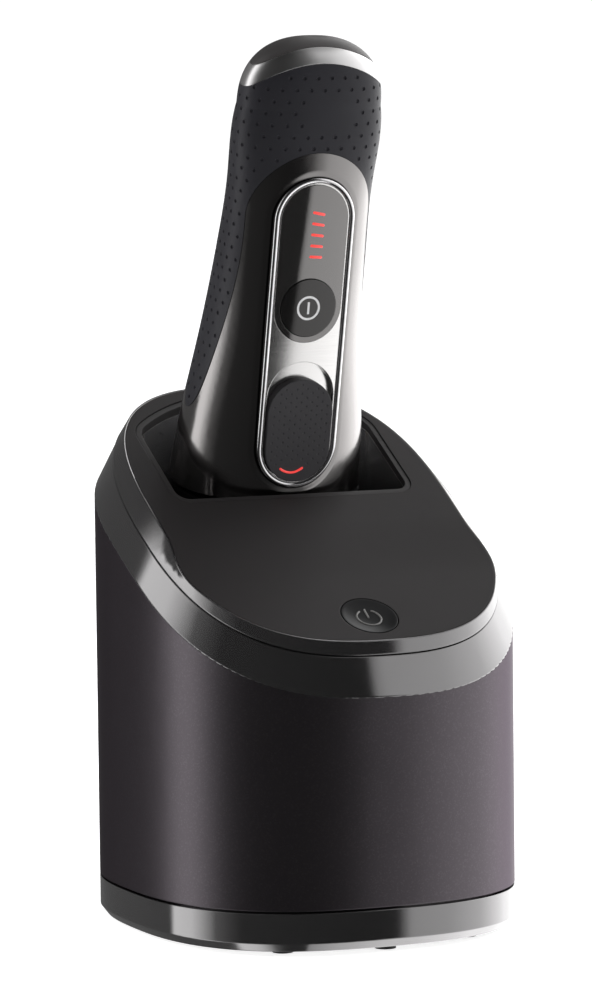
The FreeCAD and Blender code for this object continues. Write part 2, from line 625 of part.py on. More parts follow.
def makeWell():
    gap, wall, lip = size("linerGap"), size("linerWall"), size("linerLip")
    shelfTop, shelfBottom = size("shelfTop"), size("shelfTop - shelfWall")
    lipTop = size("deckBottomRise")
    outside = wellSolid(gap, shelfBottom, high).common(belowDeck(size("linerSink")))
    flange = wellSolid(-lip, 0, high).common(slab(lipTop - size("linerLipWall"), lipTop))
    inside = wellSolid(gap + wall, shelfTop, high)
    bowl = (size("bowlHalfX"), size("bowlHalfY"))
    mouth = superSolid((0, size("bowlY")), bowl, size("bowlPower"), 0, shelfTop)
    blank = shaped("liner_blank", outside.fuse(flange).cut(inside).cut(mouth))
    window = box("contact_window", ("-contactWide / 2 - fitGap", "wellBack - linerGap - 3 * linerWall",
                                    "contactZ - contactTall / 2 - fitGap"),
                 ("contactWide + 2 * fitGap", "6 * linerWall", "contactTall + 2 * fitGap"))
    node("well_liner", cut("well_liner", blank, window))

    face = "wellBack - linerGap - linerWall - contactProud"
    carrier = box("carrier_block", ("-contactWide / 2", face, "contactZ - contactTall / 2"),
                  ("contactWide", "contactProud + linerWall + carrierBehind", "contactTall"))
    pins, bores = [], []
    for number, sign in enumerate(("-", "")):
        at = (f"{sign}contactPitch / 2", f"{face} - contactPinReach", "contactZ")
        length = "contactPinReach + contactProud + linerWall"
        pins.append(cylinder(f"contact_pin_{number}", "contactPinRadius", length, at, "y"))
        bores.append(cylinder(f"contact_bore_{number}", "contactPinRadius + fitGap / 2", length, at, "y"))
    node("contact_carrier", cut("contact_carrier", carrier, *bores))
    node("contact_pins", group("contact_pins", *pins))


def slab(bottom, top):
    """The space inside the oval between two slanted planes."""
    return solidBetween(slantWire(0, bottom), slantWire(0, top))


def makeBowl():
    centre, half = (0, size("bowlY")), (size("bowlHalfX"), size("bowlHalfY"))
    power, wall = size("bowlPower"), size("bowlWall")
    top, floor = size("shelfTop - shelfWall - gasketWall"), size("bowlFloorTop")
    flangeInset = -wall - size("bowlFlange")
    cup = superSolid(centre, half, power, floor - wall, top, -wall)
    rim = superSolid(centre, half, power, top - size("flangeWall"), top, flangeInset)
    room = superSolid(centre, half, power, floor, top + 1)
    blank = shaped("bowl_blank", cup.fuse(rim).cut(room))
    gasket = superSolid(centre, half, power, top, size("shelfTop - shelfWall"), flangeInset)
    gasket = gasket.cut(superSolid(centre, half, power, top - 1, top + 2))
    node("bowl_gasket", shaped("bowl_gasket", gasket))
    under = "bowlFloorTop - bowlWall"
    barb = cylinder("bowl_barb", "tubeBore - fitGap", "barbTall + bowlWall / 2",
                    ("tubeX", "tubeY", f"{under} - barbTall"))
    barbBore = cylinder("bowl_barb_bore", "tubeBore / 2", "2 * barbTall + bowlWall",
                        ("tubeX", "tubeY", f"{under} - 1.5 * barbTall"))
    drainHole = cylinder("bowl_drain_hole", "drainRadius - drainWall", "3 * bowlWall",
                         ("drainX", "drainY", f"{under} - bowlWall"))
    node("cleaning_bowl", cut("cleaning_bowl", fuse("bowl_solid", blank, barb), barbBore, drainHole))
    node("drain_pipe", turned("drain_pipe", [
        ("drainRadius - drainWall", "drainBottom"), ("drainRadius", "drainBottom"), ("drainRadius", under),
        ("drainRadius - drainWall", under)], ("drainX", "drainY", "0")))


chassisTop = "(chassisBottom + chassisWall)"


def makeChassis():
    inset = size("housingWall + chassisGap")
    plate = shaped("chassis_blank", solidBetween(ovalWire(inset, size("chassisBottom")),
                                                 ovalWire(inset, size(chassisTop))))
    sleeves, slides = [], []
    kinds = ((sleeves, "sleeve", "sleeveGap + sleeveWall", "sleeveBottom", "sleeveTop - sleeveBottom"),
             (slides, "slide", "sleeveGap", "0", "2 * sleeveTop"))
    for number, sign in enumerate(("-", "")):
        for items, label, grow, low, tall in kinds:
            left, near = f"{sign}columnX - columnWide / 2 - ({grow})", f"columnY - columnDeep / 2 - ({grow})"
            extent = (f"columnWide + 2 * ({grow})", f"columnDeep + 2 * ({grow})", tall)
            items.append(box(f"{label}_{number}", (left, near, low), extent))
    ears = [box(f"ear_{number}", (start, "leverFace - leverThick / 2 - earDepth / 2", "chassisBottom"),
                ("earWall", "earDepth", "earTop - chassisBottom"))
            for number, start in enumerate(("leverHalf + latchSpringRoom", "-leverHalf - earGap - earWall"))]
    span = "2 * (leverHalf + earWall) + earGap + latchSpringRoom"
    pinStart = ("-leverHalf - earGap - earWall", "leverFace - leverThick / 2", "pivotZ")
    pinBore = cylinder("pin_bore", "pivotRadius", span, pinStart, "x")
    slot = box("lever_slot", ("-leverHalf - earGap", "leverFace - leverThick - slotGap", "chassisBottom - 1"),
               ("2 * (leverHalf + earGap)", "leverThick + 2 * slotGap", "chassisWall + 2"))
    tall = "2 * chassisBottom"
    holes = [cylinder("pipe_hole", "inletRadius + fitGap", tall, ("0", "pumpY", "0")),
             cylinder("drain_hole", "drainRadius + fitGap", tall, ("drainX", "drainY", "0"))]
    for number, (sign, side) in enumerate(((a, b) for a in ("-", "") for b in ("-", ""))):
        head = (f"{sign}bossX", f"{side}bossY", f"{chassisTop} + screwHeadTall")
        holes.append(screwBore(f"chassis_bore_{number}", head, down=True))
    solid = fuse("chassis_solid", plate, *sleeves, *ears)
    node("chassis_plate", cut("chassis_plate", solid, pinBore, slot, *slides, *holes))
    node("latch_pin", cylinder("latch_pin", "pivotRadius - fitGap / 2", span, pinStart, "x"))
    extent = ("boardWall", "boardLong", "boardTall")
    node("control_board", box("control_board", ("boardX", "boardY", chassisTop), extent))


coverTop = f"({chassisTop} + pumpWall + pumpChamber + pumpCoverWall)"
outletZ = f"({chassisTop} + pumpWall + pumpChamber / 2)"


def makePump():
    bore = "inletRadius - inletWall"
    tall = "pumpWall + pumpChamber"
    cup = turned("pump_cup", [
        (bore, "0"), ("pumpRadius", "0"), ("pumpRadius", tall), ("pumpRadius - pumpWall", tall),
        ("pumpRadius - pumpWall", "pumpWall"), (bore, "pumpWall")], ("0", "pumpY", chassisTop))
    reach = "pumpRadius + outletReach"
    nozzle = cylinder("pump_nozzle", "tubeBore - fitGap", reach, ("tubeX", "pumpY", outletZ), "y")
    chamber = cylinder("pump_chamber", "pumpRadius - pumpWall", "pumpChamber",
                       ("0", "pumpY", f"{chassisTop} + pumpWall"))
    passage = cylinder("nozzle_bore", "tubeBore / 2", f"2 * ({reach})", ("tubeX", "pumpY", outletZ), "y")
    nozzleOnly = cut("pump_nozzle_trimmed", nozzle, chamber)
    node("pump_housing", cut("pump_housing", fuse("pump_solid", cup, nozzleOnly), passage))
    shaftBore = "shaftRadius + shaftGap"
    node("pump_cover", turned("pump_cover", [
        (shaftBore, "0"), ("pumpRadius", "0"), ("pumpRadius", "pumpCoverWall"), (shaftBore, "pumpCoverWall")],
        ("0", "pumpY", f"{coverTop} - pumpCoverWall")))
    node("inlet_pipe", turned("inlet_pipe", [
        (bore, "inletBottom"), ("inletRadius", "inletBottom"), ("inletRadius", chassisTop),
        (bore, chassisTop)], ("0", "pumpY", "0")))
    shaftTop = "motorTall - motorBossTall"
    node("motor_can", turned("motor_can", [
        (shaftBore, "0"), ("motorRadius", "0"), ("motorRadius", "motorTall"),
        ("motorBossRadius", "motorTall"), ("motorBossRadius", "motorTall + motorBossTall"),
        ("0", "motorTall + motorBossTall"),
        ("0", f"{shaftTop} + shaftRoom"), (shaftBore, f"{shaftTop} + shaftRoom")],
        ("0", "pumpY", coverTop)))
    low = f"{chassisTop} + pumpWall + impellerGap"
    tall = f"{coverTop} + {shaftTop} - ({low})"
    node("pump_shaft", cylinder("pump_shaft", "shaftRadius", tall, ("0", "pumpY", low)))
    makeImpeller(low)
    makeTube()


def makeImpeller(low):
    body = doc.addObject("PartDesign::Body", "impeller")
    hubBore = "shaftRadius + shaftGap"
    hub = profile(body, "XZ_Plane", [
        (hubBore, "0"), ("impellerRadius", "0"), ("impellerRadius", "bladeWall"),
        ("impellerHub", "bladeWall"), ("impellerHub", "impellerTall"), (hubBore, "impellerTall")])
    turn = body.newObject("PartDesign::Revolution", "impeller_hub")
    turn.Profile = hub
    turn.ReferenceAxis = (hub, ["V_Axis"])
    turn.Angle = 360
    blade = profile(body, "XZ_Plane", [
        ("impellerHub - bladeWall / 2", "bladeWall / 2"), ("impellerRadius - bladeWall", "bladeWall / 2"),
        ("impellerRadius - bladeWall", "impellerTall"), ("impellerHub - bladeWall / 2", "impellerTall")])
    pad = body.newObject("PartDesign::Pad", "impeller_blade")
    pad.Profile = blade
    pad.SideType = "Symmetric"
    pad.setExpression("Length", link("bladeWall"))
    doc.recompute()
    pattern = body.newObject("PartDesign::PolarPattern", "impeller_blades")
    pattern.Originals = [pad]
    pattern.Axis = (hub, ["V_Axis"])
    pattern.Angle = 360
    pattern.Occurrences = int(size("impellerBlades"))
    body.Tip = pattern
    node("impeller", move(body, ("0", "pumpY", low)))


def makeTube():
    """The hose from the pump's nozzle to the bowl: a straight run, a quarter bend and a riser."""
    x, z = size("tubeX"), size(outletZ)
    startY, riserY = size("pumpY + pumpRadius"), size("tubeY")
    bend, top = size("tubeBend"), size("bowlFloorTop - bowlWall")
    turn = math.radians(45)
    middle = Vector(x, riserY - bend + bend * math.sin(turn), z + bend - bend * math.cos(turn))
    corner, riser = Vector(x, riserY - bend, z), Vector(x, riserY, z + bend)
    start = Vector(x, startY, z)
    path = Part.Wire([Part.LineSegment(start, corner).toShape(), Part.Arc(corner, middle, riser).toShape(),
                      Part.LineSegment(riser, Vector(x, riserY, top)).toShape()])
    pipes = []
    for radius in (size("tubeRadius"), size("tubeBore")):
        ring = Part.Wire([Part.Circle(start, Vector(0, 1, 0), radius).toShape()])
        pipes.append(path.makePipeShell([ring], True, True))
    node("delivery_tube", shaped("delivery_tube", pipes[0].cut(pipes[1])))


def makePowerSocket():
    left, low = "socketX - socketWide / 2", "socketZ - socketTall / 2"
    extent = ("socketWide", "socketDeep", "socketTall")
    block = box("socket_block", (left, "socketBack - socketDeep", low), extent)
    nose = box("socket_nose", ("socketX - noseWide / 2", "socketBack - noseSink", "socketZ - noseTall / 2"),
               ("noseWide", "ovalHalfY", "noseTall"))
    envelope = shaped("socket_envelope", prism(size("noseSink"), 0, high))
    solid = fuse("socket_solid", block, common("socket_nose_trimmed", nose, envelope))
    corner = ("socketX - inletSlotWide / 2", "socketBack - inletDepth", "socketZ - inletSlotTall / 2")
    slot = box("socket_slot", corner, ("inletSlotWide", "4 * inletDepth", "inletSlotTall"))
    pins, bores = [], []
    for number, sign in enumerate(("-", "")):
        at = (f"socketX + {sign}pinPitch / 2", "socketBack - socketDeep", "socketZ")
        pins.append(cylinder(f"socket_pin_{number}", "pinRadius", "socketDeep - 2 * pinRadius", at, "y"))
        bores.append(cylinder(f"socket_pin_bore_{number}", "pinRadius + fitGap / 4", "socketDeep", at, "y"))
    node("power_socket", cut("power_socket", solid, slot, *bores))
    node("socket_pins", group("socket_pins", *pins))


def makeLift():
    """Lift button in the rear wall, the latch lever it pushes and the springs that raise the housing."""
    full = shaped("button_envelope", prism(0, 0, high))
    near = "liftFlangeFace - liftFlangeWall"
    bar = box("lift_bar", ("-liftWide / 2 + liftGap", near, "liftZ - liftTall / 2 + liftGap"),
              ("liftWide - 2 * liftGap", "ovalHalfY", "liftTall - 2 * liftGap"))
    flange = box("lift_flange", ("-liftWide / 2 - liftFlange", near, "liftZ - liftTall / 2 - liftFlange"),
                 ("liftWide + 2 * liftFlange", "liftFlangeWall", "liftTall + 2 * liftFlange"))
    stem = cylinder("lift_stem", "liftStem", "liftFlangeFace - leverFace - liftStemGap",
                    ("0", "leverFace + liftStemGap", "liftZ"), "y")
    node("lift_button", common("lift_button", fuse("lift_solid", bar, flange, stem), full))
    inner, middle, hookTop = "leverFace - leverThick", "leverFace - leverThick / 2", "leverBottom + hookTall"
    leverBody = padded("latch_blank", "YZ_Plane", [
        ("leverFace", "leverTop"), (inner, "leverTop"), (inner, hookTop), (f"{inner} - hookReach", hookTop),
        (inner, "leverBottom"), ("leverFace", "leverBottom")], "2 * leverHalf")
    bore = cylinder("lever_bore", "pivotRadius + pivotGap", "4 * leverHalf",
                    ("-2 * leverHalf", middle, "pivotZ"), "x")
    boss = cylinder("lever_boss", "2 * pivotRadius + pivotGap", "2 * leverHalf",
                    ("-leverHalf", middle, "pivotZ"), "x")
    node("latch_lever", cut("latch_lever", fuse("lever_solid", leverBody, boss), bore))
    low, tall = size(f"{floorTop} + springSeat"), size(f"chassisBottom - 2 * springSeat - ({floorTop})")
    spring = coil(size("springRadius"), size("springWire"), tall, size("springPitch"))
    springs = [spring.translated(Vector(sign * size("springX"), size("springY"), low)) for sign in (-1, 1)]
    node("lift_springs", shaped("lift_springs", Part.makeCompound(springs)))
    room = size("latchSpringRoom - 2 * springSeat")
    torsion = coil(size("latchSpringRadius"), size("latchSpringWire"), room, size("latchSpringPitch"))
    torsion = torsion.rotated(Vector(), Vector(0, 1, 0), 90)
    place = Vector(size("leverHalf + springSeat"), size("leverFace - leverThick / 2"), size("pivotZ"))
    node("latch_spring", shaped("latch_spring", torsion.translated(place)))


def coil(radius, wire, tall, pitch):
    """A spring of round wire that stands on the origin."""
    run = tall - wire
    count = round(run / pitch)
    turn = Part.makeHelix(run / count, run / count, radius)
    turns = [turn.translated(Vector(0, 0, wire / 2 + run / count * index)) for index in range(count)]
    ring = Part.Wire([Part.Circle(Vector(radius, 0, wire / 2), Vector(0, 1, 0), wire / 2).toShape()])
    return Part.Wire([edge for helix in turns for edge in helix.Edges]).makePipeShell([ring], True, True)


# ---------------------------------------------------------------------------
# Shaver, in its own frame: x across, y into the depth, z along the handle
# ---------------------------------------------------------------------------
def seat(name, *parts):
    item = doc.addObject("Part::Compound", name)
    item.Links = list(parts)
    item.Placement = FreeCAD.Placement(Vector(), FreeCAD.Rotation(Vector(1, 0, 0), size("leanAngle")))
    item.setExpression("Placement.Rotation.Angle", link("leanAngle"))
    return move(item, ("0", "seatY", "seatZ"))


def handleWire(height, inset):
    """A cross-section of the handle; above handleLength it closes into a dome."""
    frontHalf = size("gripHalf") + size("frontFlare") * (1 - smooth(height / size("frontFlareLength")))
    backHalf = size("gripHalf") + size("backFlare") * (1 - smooth(height / size("backFlareLength")))
    half, spread = (frontHalf + backHalf) / 2, (backHalf - frontHalf) / (backHalf + frontHalf)
    length, power = size("handleLength"), size("domePower")
    depth = size("headDepth") - size("headDepth - endDepth") * min(max(height, 0.0), length) / length
    rise = max(height - length, 0.0) / (size("domeRise") - inset)
    reach = (1 - rise ** power) ** (1 / power)
    plan = superPoints((half - inset) * reach, (depth / 2 - inset) * reach, size("handlePower"))
    return closedCurve([Vector(x * (1 + 2 * spread * y / depth), depth / 2 + y, height) for x, y in plan])


def handleSolid(inset, bottom):
    length, dome = size("handleLength"), size("domeRise") - inset
    flare = size("backFlareLength")
    lower = [bottom] + [flare * share for share in (0.15, 0.3, 0.45, 0.6, 0.8, 1.0)] + [length]
    upper = [length + dome * share for share in (0, 0.3, 0.55, 0.75, 0.9, 0.975, 0.995)]
    handle = Part.makeLoft([handleWire(height, inset) for height in lower], True, False)
    cap = Part.makeLoft([handleWire(height, inset) for height in upper], True, False)
    return handle.fuse(cap)


def bandTool(crown):
    """Everything above an arch that crosses the handle near its end."""
    radius, wide = size("bandRadius"), size("headHalf")
    side, top, far = crown - radius, 2 * size("handleLength"), 2 * radius
    left, right = Vector(-radius, -wide, side), Vector(radius, -wide, side)
    corners = [right, Vector(far, -wide, side), Vector(far, -wide, top), Vector(-far, -wide, top),
               Vector(-far, -wide, side), left]
    edges = [Part.Arc(left, Vector(0, -wide, crown), right).toShape()]
    edges += [Part.LineSegment(*pair).toShape() for pair in zip(corners, corners[1:])]
    return Part.Face(Part.Wire(edges)).extrude(Vector(0, 4 * wide, 0))


def archTool(grow):
    """The front panel's region: an arch that widens toward the head, cut off at a slanted depth."""
    half, drop = size("archHalf"), size("archDrop")
    front = -size("headDepth")

    def side(height):
        share = max(0.0, (drop - height) / drop)
        return half + grow + size("archSpread") * share ** size("archPower")

    heights = [drop * index / 6 for index in range(-1, 7)]
    crown, radius = size("archTop") + grow, half + grow
    centre = crown - radius
    edges = []
    for sign in (-1, 1):
        flank = Part.BSplineCurve()
        flank.interpolate(Points=[Vector(sign * side(height), front, height) for height in heights])
        shoulder = Vector(sign * radius, front, centre)
        edges += [flank.toShape(), Part.LineSegment(Vector(sign * radius, front, drop), shoulder).toShape()]
    foot = side(heights[0])
    ends = [Vector(sign * radius, front, centre) for sign in (-1, 1)]
    edges += [Part.Arc(ends[0], Vector(0, front, crown), ends[1]).toShape(),
              Part.LineSegment(Vector(-foot, front, heights[0]), Vector(foot, front, heights[0])).toShape()]
    arch = Part.Face(Part.Wire(Part.__sortEdges__(edges))).extrude(Vector(0, 3 * size("headDepth"), 0))
    top = size("archTop")
    headDepth, topDepth = size("archDepthHead") + grow, size("archDepthTop") + grow
    fall = (headDepth - topDepth) / top
    wide = 2 * size("headHalf")
    corners = [Vector(-wide, 2 * front, -top), Vector(-wide, headDepth + fall * top, -top),
               Vector(-wide, topDepth - fall * top, 2 * top), Vector(-wide, 2 * front, 2 * top)]
    wedge = Part.Face(Part.makePolygon(corners + corners[:1])).extrude(Vector(2 * wide, 0, 0))
    return arch.common(wedge)


def stadium(name, half, bottom, top, front, back):
    """A prism with round ends, upright on the shaver's face, between two depths."""
    centres = (f"({bottom}) + ({half})", f"({top}) - ({half})")
    depth = f"({back}) - ({front})"
    ends = [cylinder(f"{name}_end_{number}", half, depth, ("0", front, centre), "y")
            for number, centre in enumerate(centres)]
    middle = box(f"{name}_middle", (f"-({half})", front, centres[0]),
                 (f"2 * ({half})", depth, f"({centres[1]}) - ({centres[0]})"))
    return fuse(name, *ends, middle)


def makeHandle():
    skin, core = size("skinWall"), size("skinWall + skinGap")
    outer, inner = handleSolid(0, 0), handleSolid(skin, -1)
    shell = outer.cut(inner)
    band, cap = bandTool(size("bandCrown")), bandTool(size("bandCrown + bandTall"))
    gap = size("fitGap") / 2
    depthAt = "(headDepth - (headDepth - endDepth) * chargeHeight / handleLength)"
    contacts, wells = [], []
    for number, sign in enumerate(("-", "")):
        at = (f"{sign}chargePitch / 2", f"{depthAt} + chargeProud - chargeWall", "chargeHeight")
        contacts.append(cylinder(f"charge_disc_{number}", "chargeRadius", "chargeWall", at, "y"))
        wells.append(cylinder(f"charge_well_{number}", "chargeRadius + fitGap / 2", "2 * skinWall", at, "y"))
    sleeve = shaped("sleeve_blank", shell.cut(band).cut(archTool(size("skinGap"))))
    node("grip_sleeve", seat("grip_sleeve", cut("sleeve_cut", sleeve, *wells)))
    node("charging_contacts", seat("charging_contacts", *contacts))
    front = shaped("front_blank", shell.common(archTool(0)))
    pocket = stadium("frame_pocket", "frameHalf + fitGap", "frameBottom - fitGap", "frameTop + fitGap",
                     "-headDepth", "frameDepth")
    node("front_body", seat("front_body", cut("front_cut", front, pocket)))
    node("end_band", seat("end_band", shaped("band_solid", shell.common(band).cut(cap))))
    lifted = bandTool(size("bandCrown + bandTall") + gap)
    node("end_cap", seat("end_cap", shaped("cap_solid", shell.common(lifted))))
    makeCore(core)


def makeCore(inset):
    blank = shaped("core_blank", handleSolid(inset, size("skinGap")))
    pocket = stadium("core_pocket", "frameHalf + fitGap", "frameBottom - fitGap", "frameTop + fitGap",
                     "-headDepth", "frameDepth")
    boardRoom = box("board_room", ("-shaverBoardWide / 2 - fitGap", "0", "shaverBoardBottom - fitGap"),
                    ("shaverBoardWide + 2 * fitGap", "frameDepth + shaverBoardWall + fitGap",
                     "shaverBoardTop - shaverBoardBottom + 2 * fitGap"))
    batteryBore = cylinder("battery_bore", "batteryRadius + boreGap", "batteryLength + 2 * boreGap",
                           ("0", "batteryDepth", "batteryBottom - boreGap"))
    driveBore = cylinder("drive_bore", "driveRadius + boreGap", "driveBottom + driveLength + boreGap + 1",
                         ("0", "headCentre", "-1"))
    core = cut("core_cut", blank, pocket, boardRoom, batteryBore, driveBore)
    node("handle_core", seat("handle_core", core))
    node("battery", seat("battery", cylinder("battery_cell", "batteryRadius", "batteryLength",
                                             ("0", "batteryDepth", "batteryBottom"))))
    node("drive_motor", seat("drive_motor", cylinder("drive_can", "driveRadius", "driveLength",
                                                     ("0", "headCentre", "driveBottom"))))
    node("shaver_board", seat("shaver_board", box("shaver_card", (
        "-shaverBoardWide / 2", "frameDepth + fitGap / 2", "shaverBoardBottom"), (
        "shaverBoardWide", "shaverBoardWall", "shaverBoardTop - shaverBoardBottom"))))


def makeFront():
    """The raised frame on the shaver's face with its window, plate, button and head lock."""
    ring = stadium("frame_outer", "frameHalf", "frameBottom", "frameTop", "-frameProud", "frameDepth")
    inner = "frameHalf - frameWall"
    hole = stadium("frame_inner", inner, "frameBottom + frameWall", "frameTop - frameWall",
                   "-headDepth", "headDepth")
    node("front_frame", seat("front_frame", cut("frame_ring", ring, hole)))
    plate = stadium("plate_outer", f"{inner} - fitGap", "frameBottom + frameWall + fitGap",
                    "frameTop - frameWall - fitGap", "plateFace", "frameDepth")
    windowHole = stadium("window_hole", "windowHalf + fitGap / 2", "windowBottom - fitGap / 2",
                         "windowTop + fitGap / 2", "-headDepth", "headDepth")
    recess = stadium("recess", "recessHalf", "recessBottom", "recessTop", "-headDepth", "recessDepth")
    node("front_plate", seat("front_plate", cut("plate_cut", plate, windowHole, recess)))
    glass = stadium("window_outer", "windowHalf", "windowBottom", "windowTop", "-windowProud", "frameDepth")
    buttonHole = cylinder("power_hole", "powerRadius + powerGap", "4 * headDepth",
                          ("0", "-headDepth", "powerHeight"), "y")
    bars, slots = [], []
    for number in range(int(size("barCount"))):
        height = f"barCentre + barPitch * ({number} - (barCount - 1) / 2) - barTall / 2"
        corner = ("-barWide / 2", "-windowProud", height)
        bars.append(box(f"bar_{number}", corner, ("barWide", "barDepth", "barTall")))
        slots.append(box(f"bar_slot_{number}", ("-barWide / 2", "-headDepth", height),
                         ("barWide", "headDepth - windowProud + barDepth", "barTall")))
    node("display_window", seat("display_window", cut("window_cut", glass, buttonHole, *slots)))
    node("indicator_bars", seat("indicator_bars", *bars))
    makeFrontControls()


def makeFrontControls():
    face = "-powerProud"
    disc = cylinder("power_disc", "powerRadius", "powerProud + frameDepth - powerTravel - 3 * fitGap",
                    ("0", face, "powerHeight"), "y")
    ringOuter = cylinder("icon_outer", "iconRadius", "iconDepth", ("0", face, "powerHeight"), "y")
    ringInner = cylinder("icon_inner", "iconRadius - iconWall", "iconDepth", ("0", face, "powerHeight"), "y")
    iconRing = cut("icon_ring", ringOuter, ringInner)
    stroke = box("icon_stroke", ("-iconWall / 2", face, "powerHeight - iconRadius / 2"),
                 ("iconWall", "iconDepth", "iconRadius"))
    node("shaver_power_button", seat("shaver_power_button", cut("power_cut", disc, iconRing, stroke)))
    node("power_icon", seat("power_icon", iconRing, stroke))
    slider = stadium("slider", "sliderHalf", "sliderBottom", "sliderTop", "-sliderProud", "sliderBack")
    node("head_lock_slider", seat("head_lock_slider", slider))


def makeHead():
    """Shaving head: frame with its neck, foil cassette, two foils, the middle trimmer and the cutters."""
    gap, tall = size("headGap"), size("headTall")
    centre = size("headCentre")
    wires = []
    for share in (0.0, 0.5, 1.0):
        half = size("headHalf") - size("headNarrow") * share
        depth = size("headDepth / 2 - headInset") - size("headThin") / 2 * share
        plan = superPoints(half, depth, size("handlePower"))
        wires.append(closedCurve([Vector(x, centre + y, -tall - gap + tall * (1 - share)) for x, y in plan]))
    block = Part.makeLoft(wires, True, True)
    far = size("headDepth")
    rise = far * math.tan(math.radians(size("headRoof")))
    roof = [Vector(-far, centre - far, -gap - rise), Vector(-far, centre, -gap),
            Vector(-far, centre + far, -gap - rise), Vector(-far, centre + far, -far),
            Vector(-far, centre - far, -far)]
    underRoof = Part.Face(Part.makePolygon(roof + roof[:1])).extrude(Vector(2 * far, 0, 0))
    frame = shaped("head_block", block.common(underRoof))
    neck = cylinder("head_neck", "neckRadius", "neckTop - headPivot", ("0", "headCentre", "headPivot"))
    node("head_frame", seat("head_frame", fuse("head_solid", frame, neck)))
    deckZ = "-(headGap + headTall)"
    cassetteZ = f"{deckZ} - cassetteTall"
    cassette = box("cassette_block", ("-cassetteHalf", "headCentre - cassetteDeep / 2", cassetteZ),
                   ("2 * cassetteHalf", "cassetteDeep", "cassetteTall"))
    foils, cutters, slots = [], [], []
    kinds = ((foils, "foil", "0", "foilHalf"), (foils, "hollow", "foilWall", "foilHalf - foilWall"),
             (cutters, "cutter", "foilWall + cutterGap", "foilHalf - cutterShort"))
    rollZ = f"{cassetteZ} - foilRise"
    for number, sign in enumerate(("-", "")):
        y = f"headCentre + {sign}foilPitch"
        for items, label, inset, reach in kinds:
            radius, wide = f"(foilRadius - ({inset}))", f"2 * ({reach})"
            roll = cylinder(f"{label}_roll_{number}", radius, wide, (f"-({reach})", y, rollZ), "x")
            roll.Angle = 180
            block = box(f"{label}_block_{number}", (f"-({reach})", f"{y} - {radius}", rollZ),
                        (wide, f"2 * {radius}", "foilRise + cassetteTall / 2"))
            items.append(fuse(f"{label}_{number}", roll, block))
        corner = ("-foilHalf - fitGap", f"{y} - foilRadius - fitGap", f"{cassetteZ} - 1")
        slots.append(box(f"foil_slot_{number}", corner, (
            "2 * (foilHalf + fitGap)", "2 * (foilRadius + fitGap)", "cassetteTall / 2 + 1")))
    trimmer = box("trimmer_bar", ("-foilHalf", "headCentre - trimmerDeep / 2", f"{cassetteZ} - trimmerTall"),
                  ("2 * foilHalf", "trimmerDeep", "trimmerTall"))
    node("foil_cassette", seat("foil_cassette", cut("cassette_cut", cassette, *slots)))
    node("shaving_foils", seat("shaving_foils", cut("foil_shell_0", foils[0], foils[1]),
                               cut("foil_shell_1", foils[2], foils[3])))
    node("foil_cutters", seat("foil_cutters", *cutters))
    node("middle_trimmer", seat("middle_trimmer", trimmer))


makeBase()
makeCartridge()
makeHousing()
makeLowerTrim()
makeUpperTrim()
makeDeck()
makeStartButton()
makeWell()
makeBowl()
makeChassis()
makePump()
makePowerSocket()
makeLift()
makeHandle()
makeFront()
makeHead()
doc.recompute()

faults = [item.Name for item in doc.Objects if {"Invalid", "Error"} & set(item.State)]
for name, item in nodes.items():
    if item.Shape.isNull() or not item.Shape.isValid() or not item.Shape.Solids:
        faults.append(name)
if faults:
    raise SystemExit("failed: " + ", ".join(faults))

for name, item in nodes.items():
    bounds = item.Shape.BoundBox
    print(f"{name}: {len(item.Shape.Solids)} solid(s), {item.Shape.Volume:.0f} mm3, "
          f"z {bounds.ZMin:.1f} to {bounds.ZMax:.1f}")
    item.Shape.exportStep(f"parts/{name}.step")
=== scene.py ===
import bmesh
import bpy
import json
import math
from mathutils import Matrix, Vector
from mathutils.bvhtree import BVHTree
from mathutils.geometry import barycentric_transform


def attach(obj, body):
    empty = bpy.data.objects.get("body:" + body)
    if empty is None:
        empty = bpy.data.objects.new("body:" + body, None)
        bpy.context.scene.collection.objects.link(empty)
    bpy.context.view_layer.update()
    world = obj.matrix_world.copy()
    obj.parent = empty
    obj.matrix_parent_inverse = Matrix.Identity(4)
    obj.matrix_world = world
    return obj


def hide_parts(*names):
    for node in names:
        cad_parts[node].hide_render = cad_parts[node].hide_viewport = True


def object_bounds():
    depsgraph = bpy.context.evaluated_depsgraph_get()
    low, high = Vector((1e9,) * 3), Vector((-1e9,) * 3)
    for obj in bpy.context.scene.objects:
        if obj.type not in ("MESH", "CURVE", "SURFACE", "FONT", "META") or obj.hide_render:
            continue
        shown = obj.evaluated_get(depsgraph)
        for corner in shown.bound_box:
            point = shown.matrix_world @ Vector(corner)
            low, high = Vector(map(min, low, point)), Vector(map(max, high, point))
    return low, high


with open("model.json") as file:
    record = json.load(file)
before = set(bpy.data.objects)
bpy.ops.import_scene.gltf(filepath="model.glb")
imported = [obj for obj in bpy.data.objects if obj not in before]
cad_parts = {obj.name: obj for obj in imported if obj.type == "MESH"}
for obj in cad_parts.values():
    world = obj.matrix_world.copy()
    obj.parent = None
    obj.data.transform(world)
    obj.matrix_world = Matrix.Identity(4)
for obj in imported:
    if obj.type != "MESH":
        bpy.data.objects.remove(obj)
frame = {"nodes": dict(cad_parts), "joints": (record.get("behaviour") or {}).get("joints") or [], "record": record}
nodes = frame["nodes"]
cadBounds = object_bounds()
mm = 0.001
print("frame loaded:", len(nodes), "nodes")


# places on the object
joints = {joint["name"]: joint for joint in frame["joints"]}

shaver = {
    "seatY": 7.1,            # where the handle meets the head, on its front face
    "seatZ": 129.0,
    "lean": math.atan2(-joints["shaver_lift_out"]["axis"][1], joints["shaver_lift_out"]["axis"][2]),
}
shaverPlace = (Matrix.Translation(Vector((0, shaver["seatY"], shaver["seatZ"])) * mm)
               @ Matrix.Rotation(shaver["lean"], 4, "X"))

